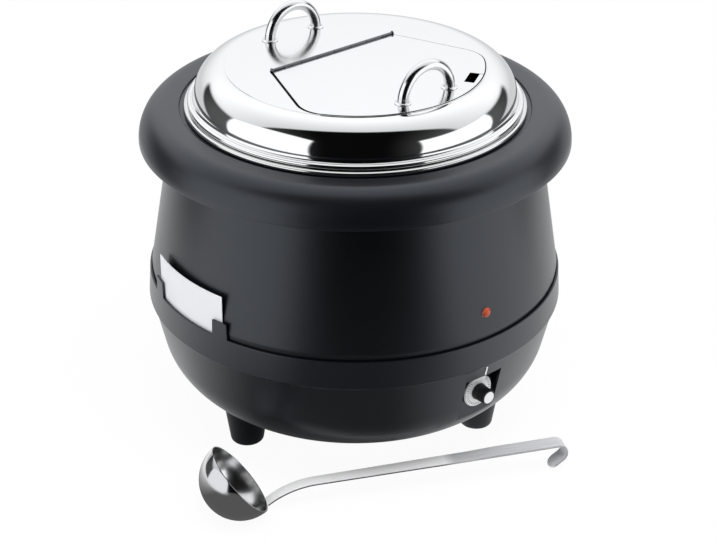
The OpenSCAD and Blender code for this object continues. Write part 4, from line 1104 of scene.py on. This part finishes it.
def makeFloor():
    g, b = Sizes(ground, 1), Sizes(boxes, 1)
    bm = bmesh.new()
    bmesh.ops.create_circle(bm, cap_ends=True, segments=128, radius=g.radius)
    bmesh.ops.translate(bm, verts=bm.verts, vec=(0, 0, -g.drop))
    obj = meshFrom("floor", bm)
    f = Finish("floorWhite", Roughness=0.8)
    tone = f.blend(f.noise(3, 2), (0.90, 0.90, 0.90), (0.93, 0.93, 0.93))
    f.feed(f.shader.inputs["Base Color"], tone)
    x, y = f.split(f.place)[:2]
    out, bearing = (x * x + y * y) ** 0.5, compass(x, y)[2]
    # the floor as the metal mirrors it glows, bright round the sides, with painted shade in the wedge in front of the
    # kettle
    ahead = bearing.within(g.first, g.last, g.soft)
    far = bearing.within(b.leftFirst - g.farMargin, b.rightFirst + g.farMargin, g.farSoft)
    ahead = ahead + out.ramp(g.farFrom, g.farRun) * (far - ahead)
    near, sides, dark, plain = (f.add("ShaderNodeEmission", {"Color": white, "Strength": strength})
                                for strength in (g.near, g.sides, g.front, 1))
    table = f.mixed(ahead, f.mixed(out.ramp(g.sidesFrom, g.sidesRun), near, sides), dark)
    path = f.add("ShaderNodeLightPath")
    shade = (1.0 - out.ramp(g.shadowFrom, g.shadowRun)) * g.shadow
    shown = f.mixed(path * (1.0 - shade), Wire(f, f.shader.outputs[0]), plain)  # white with a faint shadow
    mirrored = (f.also(path, "Is Glossy Ray") + f.also(path, "Is Transmission Ray")).clamped()
    f.feed(f.tree.nodes["Material Output"].inputs["Surface"], f.mixed(mirrored, shown, table))
    obj.data.materials.append(f.material)


def makeWorld():
    world = bpy.data.worlds.new("studio")
    bpy.context.scene.world = world
    world.use_nodes = True
    g, r, b = Graph(world.node_tree), Sizes(room, 1), Sizes(boxes, 1)
    x, y, z = g.split(g.add("ShaderNodeTexCoord", output="Generated"))
    front, side, bearing = compass(x, y)
    rise = z.arcsine() * (180 / pi)
    sides = (bearing.absolute() - rise * r.lowSlope).falling(r.lowTurn, r.lowSoft)
    dark = front.ramp(r.darkFrom - r.darkSoft / 2, r.darkSoft)  # the half behind the camera
    dark = dark.larger(rise.falling(r.lowRise, r.lowSoft) * sides)
    bow = (bearing - b.leftMiddle) * (bearing - b.leftMiddle) * b.leftBow
    left = (rise + bow).falling(b.leftRise, b.topSoft) * bearing.within(b.leftLast, b.leftFirst, b.sideSoft)
    right = rise.falling(b.rightRise, b.topSoft) * bearing.within(b.rightFirst, b.rightLast, b.sideSoft)
    soft = left.larger(right)  # two white soft boxes
    wide = side.absolute().ramp(r.dimFrom, r.dimRun)
    unlit = r.black + wide * wide * (r.dim - r.black)
    lit = r.edgeTone + front.ramp(r.darkFrom, -r.whiteRun) * (1.0 - r.edgeTone)
    drop = front.ramp(r.backFrom, -r.backRun) * (1.0 - rise.ramp(0, r.backRise)) * r.backDrop
    lit = (lit * (1.0 - drop)).larger(soft) * r.white
    level = lit + dark * (1.0 - soft) * (unlit - lit)
    shown = g.add("ShaderNodeBackground", {"Color": white, "Strength": 1})
    lights = g.add("ShaderNodeBackground", {"Color": (*r.tint, 1), "Strength": level})
    mixed = g.mixed(g.add("ShaderNodeLightPath"), lights, shown)  # the camera sees plain white
    g.feed(world.node_tree.nodes["World Output"].inputs["Surface"], mixed)


def makeOverhead():
    o = Sizes(overhead, 1)
    data = bpy.data.lights.new("overhead", "AREA")
    data.shape, data.size, data.size_y, data.energy = "RECTANGLE", o.width, o.length, o.power
    place = Vector((0, 0, o.height)) + towards * o.front + rightOf * o.right
    lightObject = aimed(linked("overhead", data), place, Vector((0, 0, o.aim)) - place)
    lightObject.visible_glossy = False  # it isn't mirrored


makeCamera()
makeFloor()
makeWorld()
makeOverhead()
bpy.context.scene.view_settings.view_transform = "Standard"
print("stage made")
